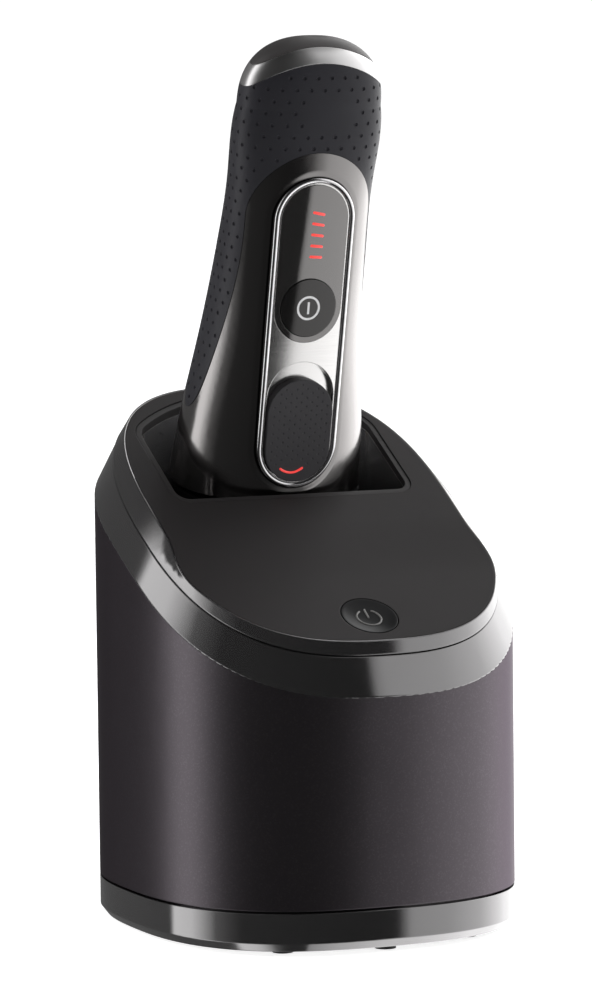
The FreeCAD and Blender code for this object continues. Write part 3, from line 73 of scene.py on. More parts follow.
startKey = {
    "centreY": -50.0, "centreZ": 98.55,          # middle of its face, level with the deck
    "radius": 8.7, "dish": 0.95, "rim": 0.35, "rimFlat": 0.35,    # a shallow dish inside a rounded rim
    "flangeRadius": 9.5, "flangeTop": 1.31, "flangeWall": 0.8, "stemRadius": 3.0, "stemTip": 8.11,
    "iconRadius": 3.75, "iconWire": 0.3, "iconGap": 32.0, "strokeFrom": 0.3, "strokeLength": 3.7,
    "steps": 72, "faceSteps": 12, "rimSteps": 4, "ringSteps": 40, "strokeSteps": 6, "crease": 40.0,
}
press = Vector(joints["start_button_press"]["axis"])
deckLean = math.atan2(press.y, -press.z)
keyPlace = (Matrix.Translation(Vector((0, startKey["centreY"], startKey["centreZ"])) * mm)
            @ Matrix.Rotation(deckLean, 4, "X"))


# camera, lights and floor
view = {
    "place": (-613.25, -1412.81, 267.56),        # millimetres
    "azimuth": -23.403, "elevation": 5.131, "roll": -0.6626,
    "lens": 181.805, "sensor": 36.0, "farClip": 50.0,
}
studio = {
    # brightness seen in each direction round the object: (degrees from +X, value)
    "bands": [(-180, 0.24), (-168, 0.12), (-157, 0.045), (-64.4, 0.02), (-62.8, 0.83), (-45, 0.96),
              (-18, 1.44), (0, 2.16), (18, 2.7), (40, 2.3), (54, 1.9), (64, 0.14), (140, 0.13), (143, 1.84),
              (158, 1.68), (170, 0.9), (180, 0.24)],
    "topDim": 0.28, "topFrom": 42.0, "topTo": 56.0,      # overhead the studio is dimmer
    "backdrop": 1.08,
    "floorAlbedo": 0.8, "floorGlow": 0.8, "floorRoughness": 0.9, "floorSize": 14.0,
}
keyLights = [
    {"name": "sideKey", "azimuth": 20.0, "elevation": 34.0, "away": 1.5, "size": 0.8, "power": 9.0},
    {"name": "rimKey", "azimuth": 152.0, "elevation": 30.0, "away": 1.5, "size": 0.6, "power": 5.0},
    {"name": "topFill", "azimuth": -60.0, "elevation": 80.0, "away": 1.6, "size": 1.2, "power": 4.0},
]


def addNode(tree, kind, sockets=None, **settings):
    made = tree.nodes.new(kind)
    for name, value in settings.items():
        setattr(made, name, value)
    for name, value in (sockets or {}).items():
        if isinstance(value, bpy.types.NodeSocket):
            tree.links.new(value, made.inputs[name])
        else:
            made.inputs[name].default_value = value
    return made


def mathNode(tree, operation, *values, clamp=False):
    made = addNode(tree, "ShaderNodeMath", dict(enumerate(values)), operation=operation, use_clamp=clamp)
    return made.outputs[0]


def vectorNode(tree, operation, *values, output=0):
    made = addNode(tree, "ShaderNodeVectorMath", dict(enumerate(values)), operation=operation)
    return made.outputs[output]


def scaleNode(tree, vector, factor):
    return addNode(tree, "ShaderNodeVectorMath", {0: vector, "Scale": factor}, operation="SCALE").outputs[0]


def splitNode(tree, vector):
    return addNode(tree, "ShaderNodeSeparateXYZ", {0: vector}).outputs


def joinNode(tree, **axes):
    return addNode(tree, "ShaderNodeCombineXYZ", axes).outputs[0]


def spread(tree, value, low, high, fromLow=0.0, fromHigh=1.0, curve="LINEAR"):
    return addNode(tree, "ShaderNodeMapRange", {
        "Value": value, "From Min": fromLow, "From Max": fromHigh, "To Min": low, "To Max": high},
        interpolation_type=curve).outputs[0]


def mixColors(tree, factor, first, second):
    made = addNode(tree, "ShaderNodeMix", {"Factor": factor, 6: first, 7: second}, data_type="RGBA")
    return made.outputs[2]


def noise(tree, vector, scale, detail, rough=0.5):
    return addNode(tree, "ShaderNodeTexNoise", {
        "Vector": vector, "Scale": scale, "Detail": detail, "Roughness": rough}).outputs["Fac"]


def makeCamera():
    data = bpy.data.cameras.new("mainView")
    data.lens, data.sensor_width = view["lens"], view["sensor"]
    data.clip_end = view["farClip"]
    camera = bpy.data.objects.new("mainView", data)
    azimuth, elevation, roll = (math.radians(view[name]) for name in ("azimuth", "elevation", "roll"))
    back = Vector((math.sin(azimuth) * math.cos(elevation), -math.cos(azimuth) * math.cos(elevation),
                   math.sin(elevation)))
    level = Vector((math.cos(azimuth), math.sin(azimuth), 0))
    up = back.cross(level)
    right = level * math.cos(roll) + up * math.sin(roll)
    turn = Matrix((right, back.cross(right), back)).transposed()
    camera.matrix_world = Matrix.Translation(Vector(view["place"]) * mm) @ turn.to_4x4()
    bpy.context.scene.collection.objects.link(camera)
    bpy.context.scene.camera = camera


def makeWorld():
    world = bpy.data.worlds.new("studio")
    bpy.context.scene.world = world
    world.use_nodes = True
    tree = world.node_tree
    tree.nodes.clear()
    direction = addNode(tree, "ShaderNodeTexCoord").outputs["Generated"]
    axes = splitNode(tree, direction)
    around = mathNode(tree, "ARCTAN2", axes["Y"], axes["X"])
    share = mathNode(tree, "MULTIPLY_ADD", around, 1 / (2 * math.pi), 0.5)
    ramp = addNode(tree, "ShaderNodeValToRGB", {"Fac": share})
    stops = ramp.color_ramp.elements
    top = max(value for _, value in studio["bands"])
    while len(stops) < len(studio["bands"]):
        stops.new(0.5)
    for stop, (degrees, value) in zip(stops, studio["bands"]):
        stop.position = (degrees + 180) / 360
        stop.color = (value / top,) * 3 + (1,)
    overhead = spread(tree, mathNode(tree, "ARCSINE", axes["Z"]), top, top * studio["topDim"],
                      math.radians(studio["topFrom"]), math.radians(studio["topTo"]), "SMOOTHSTEP")
    light = addNode(tree, "ShaderNodeBackground", {"Color": ramp.outputs["Color"], "Strength": overhead})
    plain = addNode(tree, "ShaderNodeBackground", {
        "Color": (studio["backdrop"],) * 3 + (1,), "Strength": 1.0})
    seen = addNode(tree, "ShaderNodeLightPath").outputs["Is Camera Ray"]
    mixed = addNode(tree, "ShaderNodeMixShader", {0: seen, 1: light.outputs[0], 2: plain.outputs[0]})
    addNode(tree, "ShaderNodeOutputWorld", {"Surface": mixed.outputs[0]})


def makeLights():
    target = (cadBounds[0] + cadBounds[1]) / 2
    for light in keyLights:
        data = bpy.data.lights.new(light["name"], "AREA")
        data.shape, data.size, data.energy = "DISK", light["size"], light["power"]
        item = bpy.data.objects.new(light["name"], data)
        azimuth, elevation = math.radians(light["azimuth"]), math.radians(light["elevation"])
        aim = Vector((math.cos(azimuth) * math.cos(elevation), math.sin(azimuth) * math.cos(elevation),
                      math.sin(elevation)))
        item.location = target + aim * light["away"]
        item.rotation_euler = aim.to_track_quat("Z", "Y").to_euler()
        item.visible_camera = False
        item.visible_glossy = False
        bpy.context.scene.collection.objects.link(item)


def makeFloor():
    half = studio["floorSize"] / 2
    mesh = bpy.data.meshes.new("floor")
    corners = [(-half, -half, 0), (half, -half, 0), (half, half, 0), (-half, half, 0)]
    mesh.from_pydata(corners, [], [(0, 1, 2, 3)])
    floor = bpy.data.objects.new("floor", mesh)
    bpy.context.scene.collection.objects.link(floor)
    material = bpy.data.materials.new("paleFloor")
    material.use_nodes = True
    shader = material.node_tree.nodes["Principled BSDF"]
    shader.inputs["Base Color"].default_value = (studio["floorAlbedo"],) * 3 + (1,)
    shader.inputs["Roughness"].default_value = studio["floorRoughness"]
    shader.inputs["Emission Color"].default_value = (1, 1, 1, 1)
    shader.inputs["Emission Strength"].default_value = studio["floorGlow"]
    mesh.materials.append(material)
    floor.visible_glossy = False


makeCamera()
makeWorld()
makeLights()
makeFloor()
bpy.context.scene.view_settings.view_transform = "Standard"
print("camera, lights and floor made")


# shader groups that several finishes share
def newGroup(name, inputs, outputs, kind="ShaderNodeTree"):
    group = bpy.data.node_groups.new(name, kind)
    for way, sockets in (("INPUT", inputs), ("OUTPUT", outputs)):
        for label, value in sockets.items():
            group.interface.new_socket(label, in_out=way, socket_type="NodeSocket" + value)
    return group, addNode(group, "NodeGroupInput").outputs, addNode(group, "NodeGroupOutput").inputs


texture = {
    "slowDetail": 4.0, "fineDetail": 2.0, "fineRough": 0.6,
    "streakScale": 3.1, "streakDetail": 5.0, "streakRough": 0.7, "streakFrom": 0.52, "streakTo": 0.66,
    "lineDetail": 4.0, "lineRough": 0.65, "lineGloss": 0.8, "flakeFrom": 0.7, "pipBlend": 0.15,
}


# moulded or painted skin: slow drift of tone and gloss, and a fine grain
def makeSkinGroup():
    group, given, out = newGroup("skinDetail", {
        "Vector": "Vector", "Color": "Color", "Roughness": "Float", "Tone Drift": "Float",
        "Gloss Drift": "Float", "Drift Scale": "Float", "Grain Scale": "Float", "Smudge": "Float"},
        {"Color": "Color", "Roughness": "Float", "Height": "Float"})
    slow = noise(group, given["Vector"], given["Drift Scale"], texture["slowDetail"])
    fine = noise(group, given["Vector"], given["Grain Scale"], texture["fineDetail"], texture["fineRough"])
    finer = mathNode(group, "MULTIPLY", given["Drift Scale"], texture["streakScale"])
    streak = noise(group, given["Vector"], finer, texture["streakDetail"], texture["streakRough"])
    centred = mathNode(group, "SUBTRACT", slow, 0.5)
    tone = mathNode(group, "MULTIPLY_ADD", centred, given["Tone Drift"], 1.0)
    group.links.new(scaleNode(group, given["Color"], tone), out["Color"])
    patches = spread(group, streak, 0.0, 1.0, texture["streakFrom"], texture["streakTo"])
    smudge = mathNode(group, "MULTIPLY", patches, given["Smudge"])
    gloss = mathNode(group, "MULTIPLY_ADD", centred, given["Gloss Drift"], given["Roughness"])
    group.links.new(mathNode(group, "ADD", gloss, smudge, clamp=True), out["Roughness"])
    group.links.new(fine, out["Height"])
    return group


# fine lines along one axis, as left by a brush or a drawing die
def makeBrushGroup():
    group, given, out = newGroup("brushLines", {
        "Vector": "Vector", "Color": "Color", "Roughness": "Float", "Stretch": "Vector", "Scale": "Float",
        "Contrast": "Float"}, {"Color": "Color", "Roughness": "Float", "Height": "Float"})
    stretched = vectorNode(group, "MULTIPLY", given["Vector"], given["Stretch"])
    lines = noise(group, stretched, given["Scale"], texture["lineDetail"], texture["lineRough"])
    centred = mathNode(group, "SUBTRACT", lines, 0.5)
    tone = mathNode(group, "MULTIPLY_ADD", centred, given["Contrast"], 1.0)
    group.links.new(scaleNode(group, given["Color"], tone), out["Color"])
    change = mathNode(group, "MULTIPLY", given["Contrast"], texture["lineGloss"])
    group.links.new(mathNode(group, "MULTIPLY_ADD", centred, change, given["Roughness"]), out["Roughness"])
    group.links.new(lines, out["Height"])
    return group


# flakes of metal in a lacquer
def makeFlakeGroup():
    group, given, out = newGroup("lacquerFlakes", {
        "Vector": "Vector", "Color": "Color", "Flake Color": "Color", "Scale": "Float", "Share": "Float"},
        {"Color": "Color"})
    cells = addNode(group, "ShaderNodeTexVoronoi", {"Vector": given["Vector"], "Scale": given["Scale"]})
    pick = addNode(group, "ShaderNodeSeparateColor", {0: cells.outputs["Color"]}).outputs[0]
    bright = spread(group, pick, 0.0, 1.0, texture["flakeFrom"], 1.0)
    factor = mathNode(group, "MULTIPLY", bright, given["Share"])
    group.links.new(mixColors(group, factor, given["Color"], given["Flake Color"]), out["Color"])
    return group


# a regular field of round holes or pips in the plane of two axes
def makePipGroup():
    group, given, out = newGroup("pipField", {"Vector": "Vector", "Pitch": "Float", "Radius": "Float"},
                                 {"Mask": "Float"})
    scaled = scaleNode(group, given["Vector"], mathNode(group, "DIVIDE", 1.0, given["Pitch"]))
    cells = addNode(group, "ShaderNodeTexVoronoi", {"Vector": scaled, "Scale": 1.0, "Randomness": 0.0})
    edge = mathNode(group, "DIVIDE", given["Radius"], given["Pitch"])
    shares = (1 - texture["pipBlend"], 1 + texture["pipBlend"])
    ends = [mathNode(group, "MULTIPLY", edge, share) for share in shares]
    group.links.new(spread(group, cells.outputs["Distance"], 1.0, 0.0, *ends), out["Mask"])
    return group


# distance to an upright capsule drawn on the shaver's face
def makeCapsuleGroup():
    group, given, out = newGroup("capsuleDistance", {
        "Vector": "Vector", "Bottom": "Float", "Top": "Float", "Radius": "Float"}, {"Distance": "Float"})
    axes = splitNode(group, given["Vector"])
    held = mathNode(group, "MINIMUM", mathNode(group, "MAXIMUM", axes["Z"], given["Bottom"]), given["Top"])
    along = mathNode(group, "SUBTRACT", axes["Z"], held)
    reach = vectorNode(group, "LENGTH", joinNode(group, X=axes["X"], Z=along), output="Value")
    group.links.new(mathNode(group, "SUBTRACT", reach, given["Radius"]), out["Distance"])
    return group


skinDetail = makeSkinGroup()
brushLines = makeBrushGroup()
lacquerFlakes = makeFlakeGroup()
pipField = makePipGroup()
capsuleDistance = makeCapsuleGroup()


# finishes
def startMaterial(name, constants):
    material = bpy.data.materials.new(name)
    material.use_nodes = True
    tree = material.node_tree
    shader = tree.nodes["Principled BSDF"]
    for socket, value in constants.items():
        shader.inputs[socket].default_value = value
    place = addNode(tree, "ShaderNodeTexCoord").outputs["Object"]
    return material, tree, shader, place


def useGroup(tree, group, **sockets):
    named = {label.replace("_", " "): value for label, value in sockets.items()}
    return addNode(tree, "ShaderNodeGroup", named, node_tree=group).outputs


def useSkin(tree, place, spec, color=None):
    return useGroup(tree, skinDetail, Vector=place, Color=(*spec["color"], 1) if color is None else color,
                    Roughness=spec["roughness"], Tone_Drift=spec["toneDrift"],
                    Gloss_Drift=spec.get("drift", 0.05), Drift_Scale=spec.get("driftScale", 40.0),
                    Grain_Scale=float(spec["grainScale"]), Smudge=spec.get("smudge", 0.0))


def useBrush(tree, place, spec):
    return useGroup(tree, brushLines, Vector=place, Color=(*spec["color"], 1), Roughness=spec["roughness"],
                    Stretch=spec["stretch"], Scale=spec["scale"], Contrast=spec["contrast"])


def bump(tree, shader, height, distance, edge=0.0):
    made = addNode(tree, "ShaderNodeBump", {"Height": height, "Distance": distance, "Strength": 1.0})
    if edge:
        rounded = addNode(tree, "ShaderNodeBevel", {"Radius": edge}, samples=6)
        tree.links.new(rounded.outputs[0], made.inputs["Normal"])
    tree.links.new(made.outputs[0], shader.inputs["Normal"])


# colour, roughness and fine relief, from a group's outputs unless others are given
def dress(tree, shader, detail, distance, edge=0.0, color=None, height=None):
    tree.links.new(detail["Color"] if color is None else color, shader.inputs["Base Color"])
    tree.links.new(detail["Roughness"], shader.inputs["Roughness"])
    bump(tree, shader, detail["Height"] if height is None else height, distance, edge)


# one entry for each finish that is a plain skin
skins = {
    "glossBlack": dict(color=(0.265, 0.26, 0.262), metallic=0.96, roughness=0.07, drift=0.02, toneDrift=0.06,
                       grainScale=900, grain=0.0000012, smudge=0.02, edge=0.0005),
    "keyGloss": dict(color=(0.02, 0.02, 0.0205), roughness=0.12, drift=0.02, toneDrift=0.1,
                     grainScale=1200, grain=0.000004, smudge=0.03, specular=0.06),
    "deckSatin": dict(color=(0.031, 0.0285, 0.029), roughness=0.46, drift=0.05, toneDrift=0.12,
                      grainScale=4200, grain=0.00002, smudge=0.03, edge=0.0004, specular=0.09),
    "innerPlastic": dict(color=(0.075, 0.075, 0.08), roughness=0.5, drift=0.08, toneDrift=0.2,
                         grainScale=2200, grain=0.00004, edge=0.0004),
    "rubberBlack": dict(color=(0.022, 0.022, 0.023), roughness=0.75, drift=0.08, toneDrift=0.25,
                        grainScale=1800, grain=0.00006),
    "cartridgePlastic": dict(color=(0.4, 0.435, 0.46), roughness=0.38, drift=0.06, toneDrift=0.08,
                             grainScale=1600, grain=0.00003, edge=0.0004),
    "hoseRubber": dict(color=(0.3, 0.31, 0.32), roughness=0.55, drift=0.08, toneDrift=0.15,
                       grainScale=1500, grain=0.00005),
    "contactMetal": dict(color=(0.85, 0.66, 0.3), metallic=1.0, roughness=0.22, drift=0.06, toneDrift=0.15,
                         grainScale=2500, grain=0.00001),
    "brightChrome": dict(color=(0.86, 0.85, 0.86), metallic=1.0, roughness=0.07, drift=0.02, toneDrift=0.04,
                         grainScale=900, grain=0.000003, smudge=0.02, edge=0.0003),
    "softChrome": dict(color=(0.74, 0.73, 0.73), metallic=1.0, roughness=0.3, drift=0.02, toneDrift=0.04,
                       grainScale=1500, grain=0.000004, smudge=0.02, edge=0.0003),
    "capGrey": dict(color=(0.07, 0.066, 0.066), metallic=0.3, roughness=0.45, drift=0.05, toneDrift=0.12,
                    grainScale=3600, grain=0.00002, edge=0.0003),
    "windowBlack": dict(color=(0.24, 0.232, 0.228), metallic=0.96, roughness=0.06, drift=0.02, toneDrift=0.06,
                        grainScale=900, grain=0.000003, coat=0.5, smudge=0.02, edge=0.0002),
    "buttonBlack": dict(color=(0.065, 0.063, 0.062), metallic=0.9, roughness=0.08, drift=0.02, toneDrift=0.06,
                        grainScale=900, grain=0.000003, coat=0.3, smudge=0.02, edge=0.0002),
    "iconWhite": dict(color=(0.7, 0.7, 0.71), roughness=0.35, drift=0.03, toneDrift=0.05,
                      grainScale=4000, grain=0.00001),
    "iconGrey": dict(color=(0.2, 0.195, 0.19), roughness=0.35, drift=0.03, toneDrift=0.05,
                     grainScale=4000, grain=0.00001),
    "sliderRubber": dict(color=(0.035, 0.033, 0.037), roughness=0.55, drift=0.05, toneDrift=0.15,
                         grainScale=5000, grain=0.00002, edge=0.0006),
    "batteryWrap": dict(color=(0.06, 0.2, 0.42), roughness=0.3, drift=0.05, toneDrift=0.2,
                        grainScale=700, grain=0.00004),
}
coatRoughness = 0.04


def makeSkin(name, spec):
    material, tree, shader, place = startMaterial(name, {
        "Metallic": spec.get("metallic", 0.0), "Coat Weight": spec.get("coat", 0.0),
        "Coat Roughness": coatRoughness, "Specular IOR Level": spec.get("specular", 0.5)})
    dress(tree, shader, useSkin(tree, place, spec), spec["grain"], spec.get("edge", 0.0))
    return material


brushed = {
    "springSteel": dict(color=(0.55, 0.55, 0.56), roughness=0.28, stretch=(8.0, 8.0, 1.0), scale=400.0,
                        contrast=0.3, depth=0.00003),
    "screwSteel": dict(color=(0.5, 0.5, 0.52), roughness=0.32, stretch=(3.0, 3.0, 1.0), scale=900.0,
                       contrast=0.25, depth=0.00003),
    "motorSteel": dict(color=(0.5, 0.5, 0.52), roughness=0.34, stretch=(1.0, 1.0, 40.0), scale=80.0,
                       contrast=0.35, depth=0.00003),
    "silverPlate": dict(color=(0.96, 0.945, 0.935), roughness=0.19, stretch=(1.0, 40.0, 40.0), scale=60.0,
                        contrast=0.16, depth=0.000012),
    "foilSteel": dict(color=(0.7, 0.7, 0.71), roughness=0.2, stretch=(1.0, 30.0, 30.0), scale=90.0,
                      contrast=0.2, depth=0.00001),
}
brushedEdge = 0.0003


def makeBrushed(name, spec):
    material, tree, shader, place = startMaterial(name, {"Metallic": 1.0})
    dress(tree, shader, useBrush(tree, place, spec), spec["depth"], brushedEdge)
    return material


housingPaint = {
    "color": (0.11, 0.098, 0.108, 1), "flake": (0.22, 0.2, 0.225, 1), "flakeScale": 2600.0,
    "flakeShare": 0.18, "roughness": 0.36, "metallic": 0.95, "edgeTint": (0.5, 0.47, 0.5, 1),
    "toneDrift": 0.05, "drift": 0.04, "grainScale": 2600, "grain": 0.000012, "edge": 0.0005,
}


def makeHousingSatin(name):
    spec = housingPaint
    material, tree, shader, place = startMaterial(name, {
        "Metallic": spec["metallic"], "Specular Tint": spec["edgeTint"]})
    flakes = useGroup(tree, lacquerFlakes, Vector=place, Color=spec["color"], Flake_Color=spec["flake"],
                      Scale=spec["flakeScale"], Share=spec["flakeShare"])
    dress(tree, shader, useSkin(tree, place, spec, flakes["Color"]), spec["grain"], spec["edge"])
    return material


wellSkin = {
    "color": (0.6, 0.59, 0.59), "roughness": 0.1, "metallic": 0.86, "specular": 0.3, "toneDrift": 0.06,
    "drift": 0.02, "grainScale": 900, "smudge": 0.03, "grain": 0.000004, "edge": 0.0004,
    # its lip matches the deck, down to rimDrop millimetres below the start key's middle
    "rimColor": (0.031, 0.0285, 0.029, 1), "rimRoughness": 0.45, "rimDrop": 1.2, "rimBlend": 0.1,
}


# polished inside, and satin like the deck where its lip shows
def makeWellGloss(name):
    spec = wellSkin
    material, tree, shader, place = startMaterial(name, {"Specular IOR Level": spec["specular"]})
    rise = Vector((0, -math.sin(deckLean), math.cos(deckLean)))
    level = rise.dot(Vector((0, startKey["centreY"], startKey["centreZ"]))) - spec["rimDrop"]
    height = vectorNode(tree, "DOT_PRODUCT", place, rise, output="Value")
    lip = spread(tree, height, 0.0, 1.0, (level - spec["rimBlend"]) * mm, (level + spec["rimBlend"]) * mm)
    detail = useSkin(tree, place, spec)
    tree.links.new(mixColors(tree, lip, detail["Color"], spec["rimColor"]), shader.inputs["Base Color"])
    tree.links.new(mathNode(tree, "MULTIPLY_ADD", lip, spec["rimRoughness"], detail["Roughness"]),
                   shader.inputs["Roughness"])
    tree.links.new(mathNode(tree, "MULTIPLY_ADD", lip, -spec["metallic"], spec["metallic"]),
                   shader.inputs["Metallic"])
    bump(tree, shader, detail["Height"], spec["grain"], spec["edge"])
    return material


gripSkin = {
    "color": (0.019, 0.0185, 0.0235), "roughness": 0.45, "sheen": 0.05, "sheenRoughness": 0.4,
    "specular": 0.3, "toneDrift": 0.2, "drift": 0.06, "driftScale": 60.0, "grainScale": 5200,
    "grain": 0.00002,
}


def makeGripRubber(name):
    material, tree, shader, place = startMaterial(name, {
        "Sheen Weight": gripSkin["sheen"], "Sheen Roughness": gripSkin["sheenRoughness"],
        "Specular IOR Level": gripSkin["specular"]})
    dress(tree, shader, useSkin(tree, place, gripSkin), gripSkin["grain"])
    return material


darkMetal = {
    "color": (0.32, 0.308, 0.304), "roughness": 0.16, "toneDrift": 0.05, "drift": 0.02, "grainScale": 900,
    "smudge": 0.02,
    "bottom": 16.9, "top": 88.5, "radius": 13.1,     # the capsule that the bright frame follows
    "width": 2.4, "depth": 0.00025,                  # the channel round it
    # a thin line of painted shade along the frame's edge, standing in for the shadow in the gap between frame and
    # body
    "seamFrom": 0.25, "seamTo": 0.6, "seamShade": 0.06,
}


# polished dark metal with a soft channel pressed in round the frame, and a thin line of painted shade along the
# frame's edge
def makeDarkChrome(name):
    spec = darkMetal
    material, tree, shader, place = startMaterial(name, {"Metallic": 1.0})
    turned = addNode(tree, "ShaderNodeMapping", {"Vector": place}, vector_type="TEXTURE")
    turned.inputs["Location"].default_value = shaverPlace.translation
    turned.inputs["Rotation"].default_value = (shaver["lean"], 0, 0)
    away = useGroup(tree, capsuleDistance, Vector=turned.outputs[0], Bottom=spec["bottom"] * mm,
                    Top=spec["top"] * mm, Radius=spec["radius"] * mm)["Distance"]
    near = spread(tree, away, 0.0, 1.0, 0.0, spec["width"] * mm, "SMOOTHSTEP")
    # painted shade: the colour darkens in a thin line next to the frame, where the gap would be in shadow
    paintedShadeFactor = spread(tree, away, spec["seamShade"], 1.0, spec["seamFrom"] * mm, spec["seamTo"] * mm)
    detail = useSkin(tree, place, spec)
    dress(tree, shader, detail, spec["depth"], color=scaleNode(tree, detail["Color"], paintedShadeFactor), height=near)
    return material


lightSkin = {
    "color": (0.72, 0.05, 0.045), "roughness": 0.3, "glow": 0.75, "coat": 0.6, "toneDrift": 0.15,
    "grainScale": 1800, "grain": 0.00001,
}


def makeLightRed(name):
    material, tree, shader, place = startMaterial(name, {
        "Emission Strength": lightSkin["glow"], "Coat Weight": lightSkin["coat"]})
    detail = useSkin(tree, place, lightSkin)
    dress(tree, shader, detail, lightSkin["grain"])
    tree.links.new(detail["Color"], shader.inputs["Emission Color"])
    return material


boardSkin = {
    "lacquer": (0.02, 0.13, 0.055, 1), "copper": (0.03, 0.17, 0.075, 1), "gap": (0.05, 0.24, 0.11, 1),
    "pad": (0.72, 0.62, 0.35, 1), "padPitch": 0.0025, "padRadius": 0.0005,
    "runScale": 260.0, "runGap": 0.03, "runLong": 0.9, "runWide": 0.35,
    "coat": 0.4, "coatRoughness": 0.2, "roughness": 0.32, "toneDrift": 0.15, "grainScale": 1400,
    "relief": 0.00003,
}


# green lacquer over copper runs, with pads
def makeBoardGreen(name):
    spec = boardSkin
    material, tree, shader, place = startMaterial(name, {
        "Coat Weight": spec["coat"], "Coat Roughness": spec["coatRoughness"]})
    runs = addNode(tree, "ShaderNodeTexBrick", {
        "Vector": place, "Scale": spec["runScale"], "Color1": spec["lacquer"], "Color2": spec["copper"],
        "Mortar": spec["gap"], "Mortar Size": spec["runGap"], "Brick Width": spec["runLong"],
        "Row Height": spec["runWide"]}).outputs
    pads = useGroup(tree, pipField, Vector=place, Pitch=spec["padPitch"], Radius=spec["padRadius"])["Mask"]
    detail = useSkin(tree, place, spec, mixColors(tree, pads, runs["Color"], spec["pad"]))
    dress(tree, shader, detail, spec["relief"], height=runs["Fac"])
    return material


feltSkin = {
    "color": (0.66, 0.66, 0.6), "roughness": 0.9, "sheen": 0.4, "toneDrift": 0.4, "driftScale": 300.0,
    "grainScale": 1400, "grain": 0.0003,
}


# pressed felt with loose fibres
def makeFilterFelt(name):
    material, tree, shader, place = startMaterial(name, {"Sheen Weight": feltSkin["sheen"]})
    dress(tree, shader, useSkin(tree, place, feltSkin), feltSkin["grain"])
    return material


foilSkin = {
    "color": (0.68, 0.68, 0.69), "roughness": 0.22, "stretch": (1.0, 30.0, 30.0), "scale": 90.0,
    "contrast": 0.2, "holePitch": 0.0008, "holeRadius": 0.00028, "holeShade": 0.08, "holeDepth": 0.0001,
}


# thin steel with rows of tiny holes
def makeFoilMesh(name):
    spec = foilSkin
    material, tree, shader, place = startMaterial(name, {"Metallic": 1.0})
    detail = useBrush(tree, place, spec)
    holes = useGroup(tree, pipField, Vector=place, Pitch=spec["holePitch"], Radius=spec["holeRadius"])["Mask"]
    shade = spread(tree, holes, 1.0, spec["holeShade"])
    dress(tree, shader, detail, spec["holeDepth"], color=scaleNode(tree, detail["Color"], shade),
          height=mathNode(tree, "SUBTRACT", 1.0, holes))
    return material


materials = {name: makeSkin(name, spec) for name, spec in skins.items()}
materials.update({name: makeBrushed(name, spec) for name, spec in brushed.items()})
special = {
    "housingSatin": makeHousingSatin, "wellGloss": makeWellGloss, "gripRubber": makeGripRubber,
    "darkChrome": makeDarkChrome, "lightRed": makeLightRed, "boardGreen": makeBoardGreen,
    "filterFelt": makeFilterFelt, "foilMesh": makeFoilMesh,
}
materials.update({name: make(name) for name, make in special.items()})
print("finishes made:", len(materials))


# the finish of each node: its own where one is named here, else the one named after its slot in the record
nodeFinish = {
    "well_liner": "wellGloss", "shaving_foils": "foilMesh", "lift_button": "keyGloss",
    "head_frame": "keyGloss", "start_button": "keyGloss", "end_band": "softChrome",
    "cartridge_filter": "filterFelt",
}
for part in frame["record"]["subparts"]:
    name = part["node"]
    first, *others = part["material_slot"].split("_")
    finish = nodeFinish.get(name, first + "".join(word.title() for word in others))
    nodes[name].data.materials.clear()
    nodes[name].data.materials.append(materials[finish])


# pieces that need more shape than a plain solid
def addPiece(name, mesh, body, finish, place=None, crease=None):
    if place:
        mesh.transform(place)
    mesh.materials.clear()
    mesh.materials.append(materials[finish])
    mesh.shade_smooth()
    if crease:
        mesh.set_sharp_from_angle(angle=math.radians(crease))
    piece = bpy.data.objects.new(name, mesh)
    bpy.context.scene.collection.objects.link(piece)
    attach(piece, body)
    return piece


def meshOf(name, shape):
    mesh = bpy.data.meshes.new(name)
    shape.to_mesh(mesh)
    shape.free()
    return mesh


# the surface between rings of vertices, where a ring of one vertex closes an end
def ringMesh(name, shape, rings, around):
    for lower, upper in zip(rings, rings[1:]):
        for step in range(around):
            following = (step + 1) % around
            corner = [lower[step % len(lower)], lower[following % len(lower)],
                      upper[following % len(upper)], upper[step % len(upper)]]
            shape.faces.new(list(dict.fromkeys(corner)))
    bmesh.ops.recalc_face_normals(shape, faces=shape.faces)
    return meshOf(name, shape)


def circle(steps):
    angles = [2 * math.pi * step / steps for step in range(steps)]
    return [(math.cos(angle), math.sin(angle)) for angle in angles]


# a closed solid turned from (radius, height) corners, both ends on the axis
def turnedMesh(name, corners, steps):
    shape = bmesh.new()
    rings = []
    for radius, height in corners:
        spots = circle(steps) if radius > 1e-6 else [(0, 0)]
        rings.append([shape.verts.new((radius * mm * x, radius * mm * y, height * mm)) for x, y in spots])
    return ringMesh(name, shape, rings, steps)


# a round bar with domed ends along a line of points
def barMesh(name, points, radius, around=12):
    shape = bmesh.new()
    rings = []
    turns = [share * math.pi / 2 for share in (0.0, 0.35, 0.7, 1.0)]
    domes = [(math.sin(turn), math.cos(turn)) for turn in turns]
    for index, point in enumerate(points):
        before, after = points[max(index - 1, 0)], points[min(index + 1, len(points) - 1)]
        along = (Vector(after) - Vector(before)).normalized()
        side = along.cross(Vector((0, 0, 1)) if abs(along.z) < 0.9 else Vector((0, 1, 0))).normalized()
        up = side.cross(along)
        stops = [(0.0, 1.0)]
        if index == 0:
            stops = [(-shift, grow) for shift, grow in reversed(domes)]
        elif index == len(points) - 1:
            stops = domes
        for shift, grow in stops:
            centre = Vector(point) + along * shift * radius
            spots = circle(around) if grow > 1e-6 else [(0, 0)]
            rings.append([shape.verts.new((centre + (side * x + up * y) * radius * grow) * mm)
                          for x, y in spots])
    return ringMesh(name, shape, rings, around)


def joinMeshes(name, meshes):
    shape = bmesh.new()
    for mesh in meshes:
        shape.from_mesh(mesh)
        bpy.data.meshes.remove(mesh)
    return meshOf(name, shape)


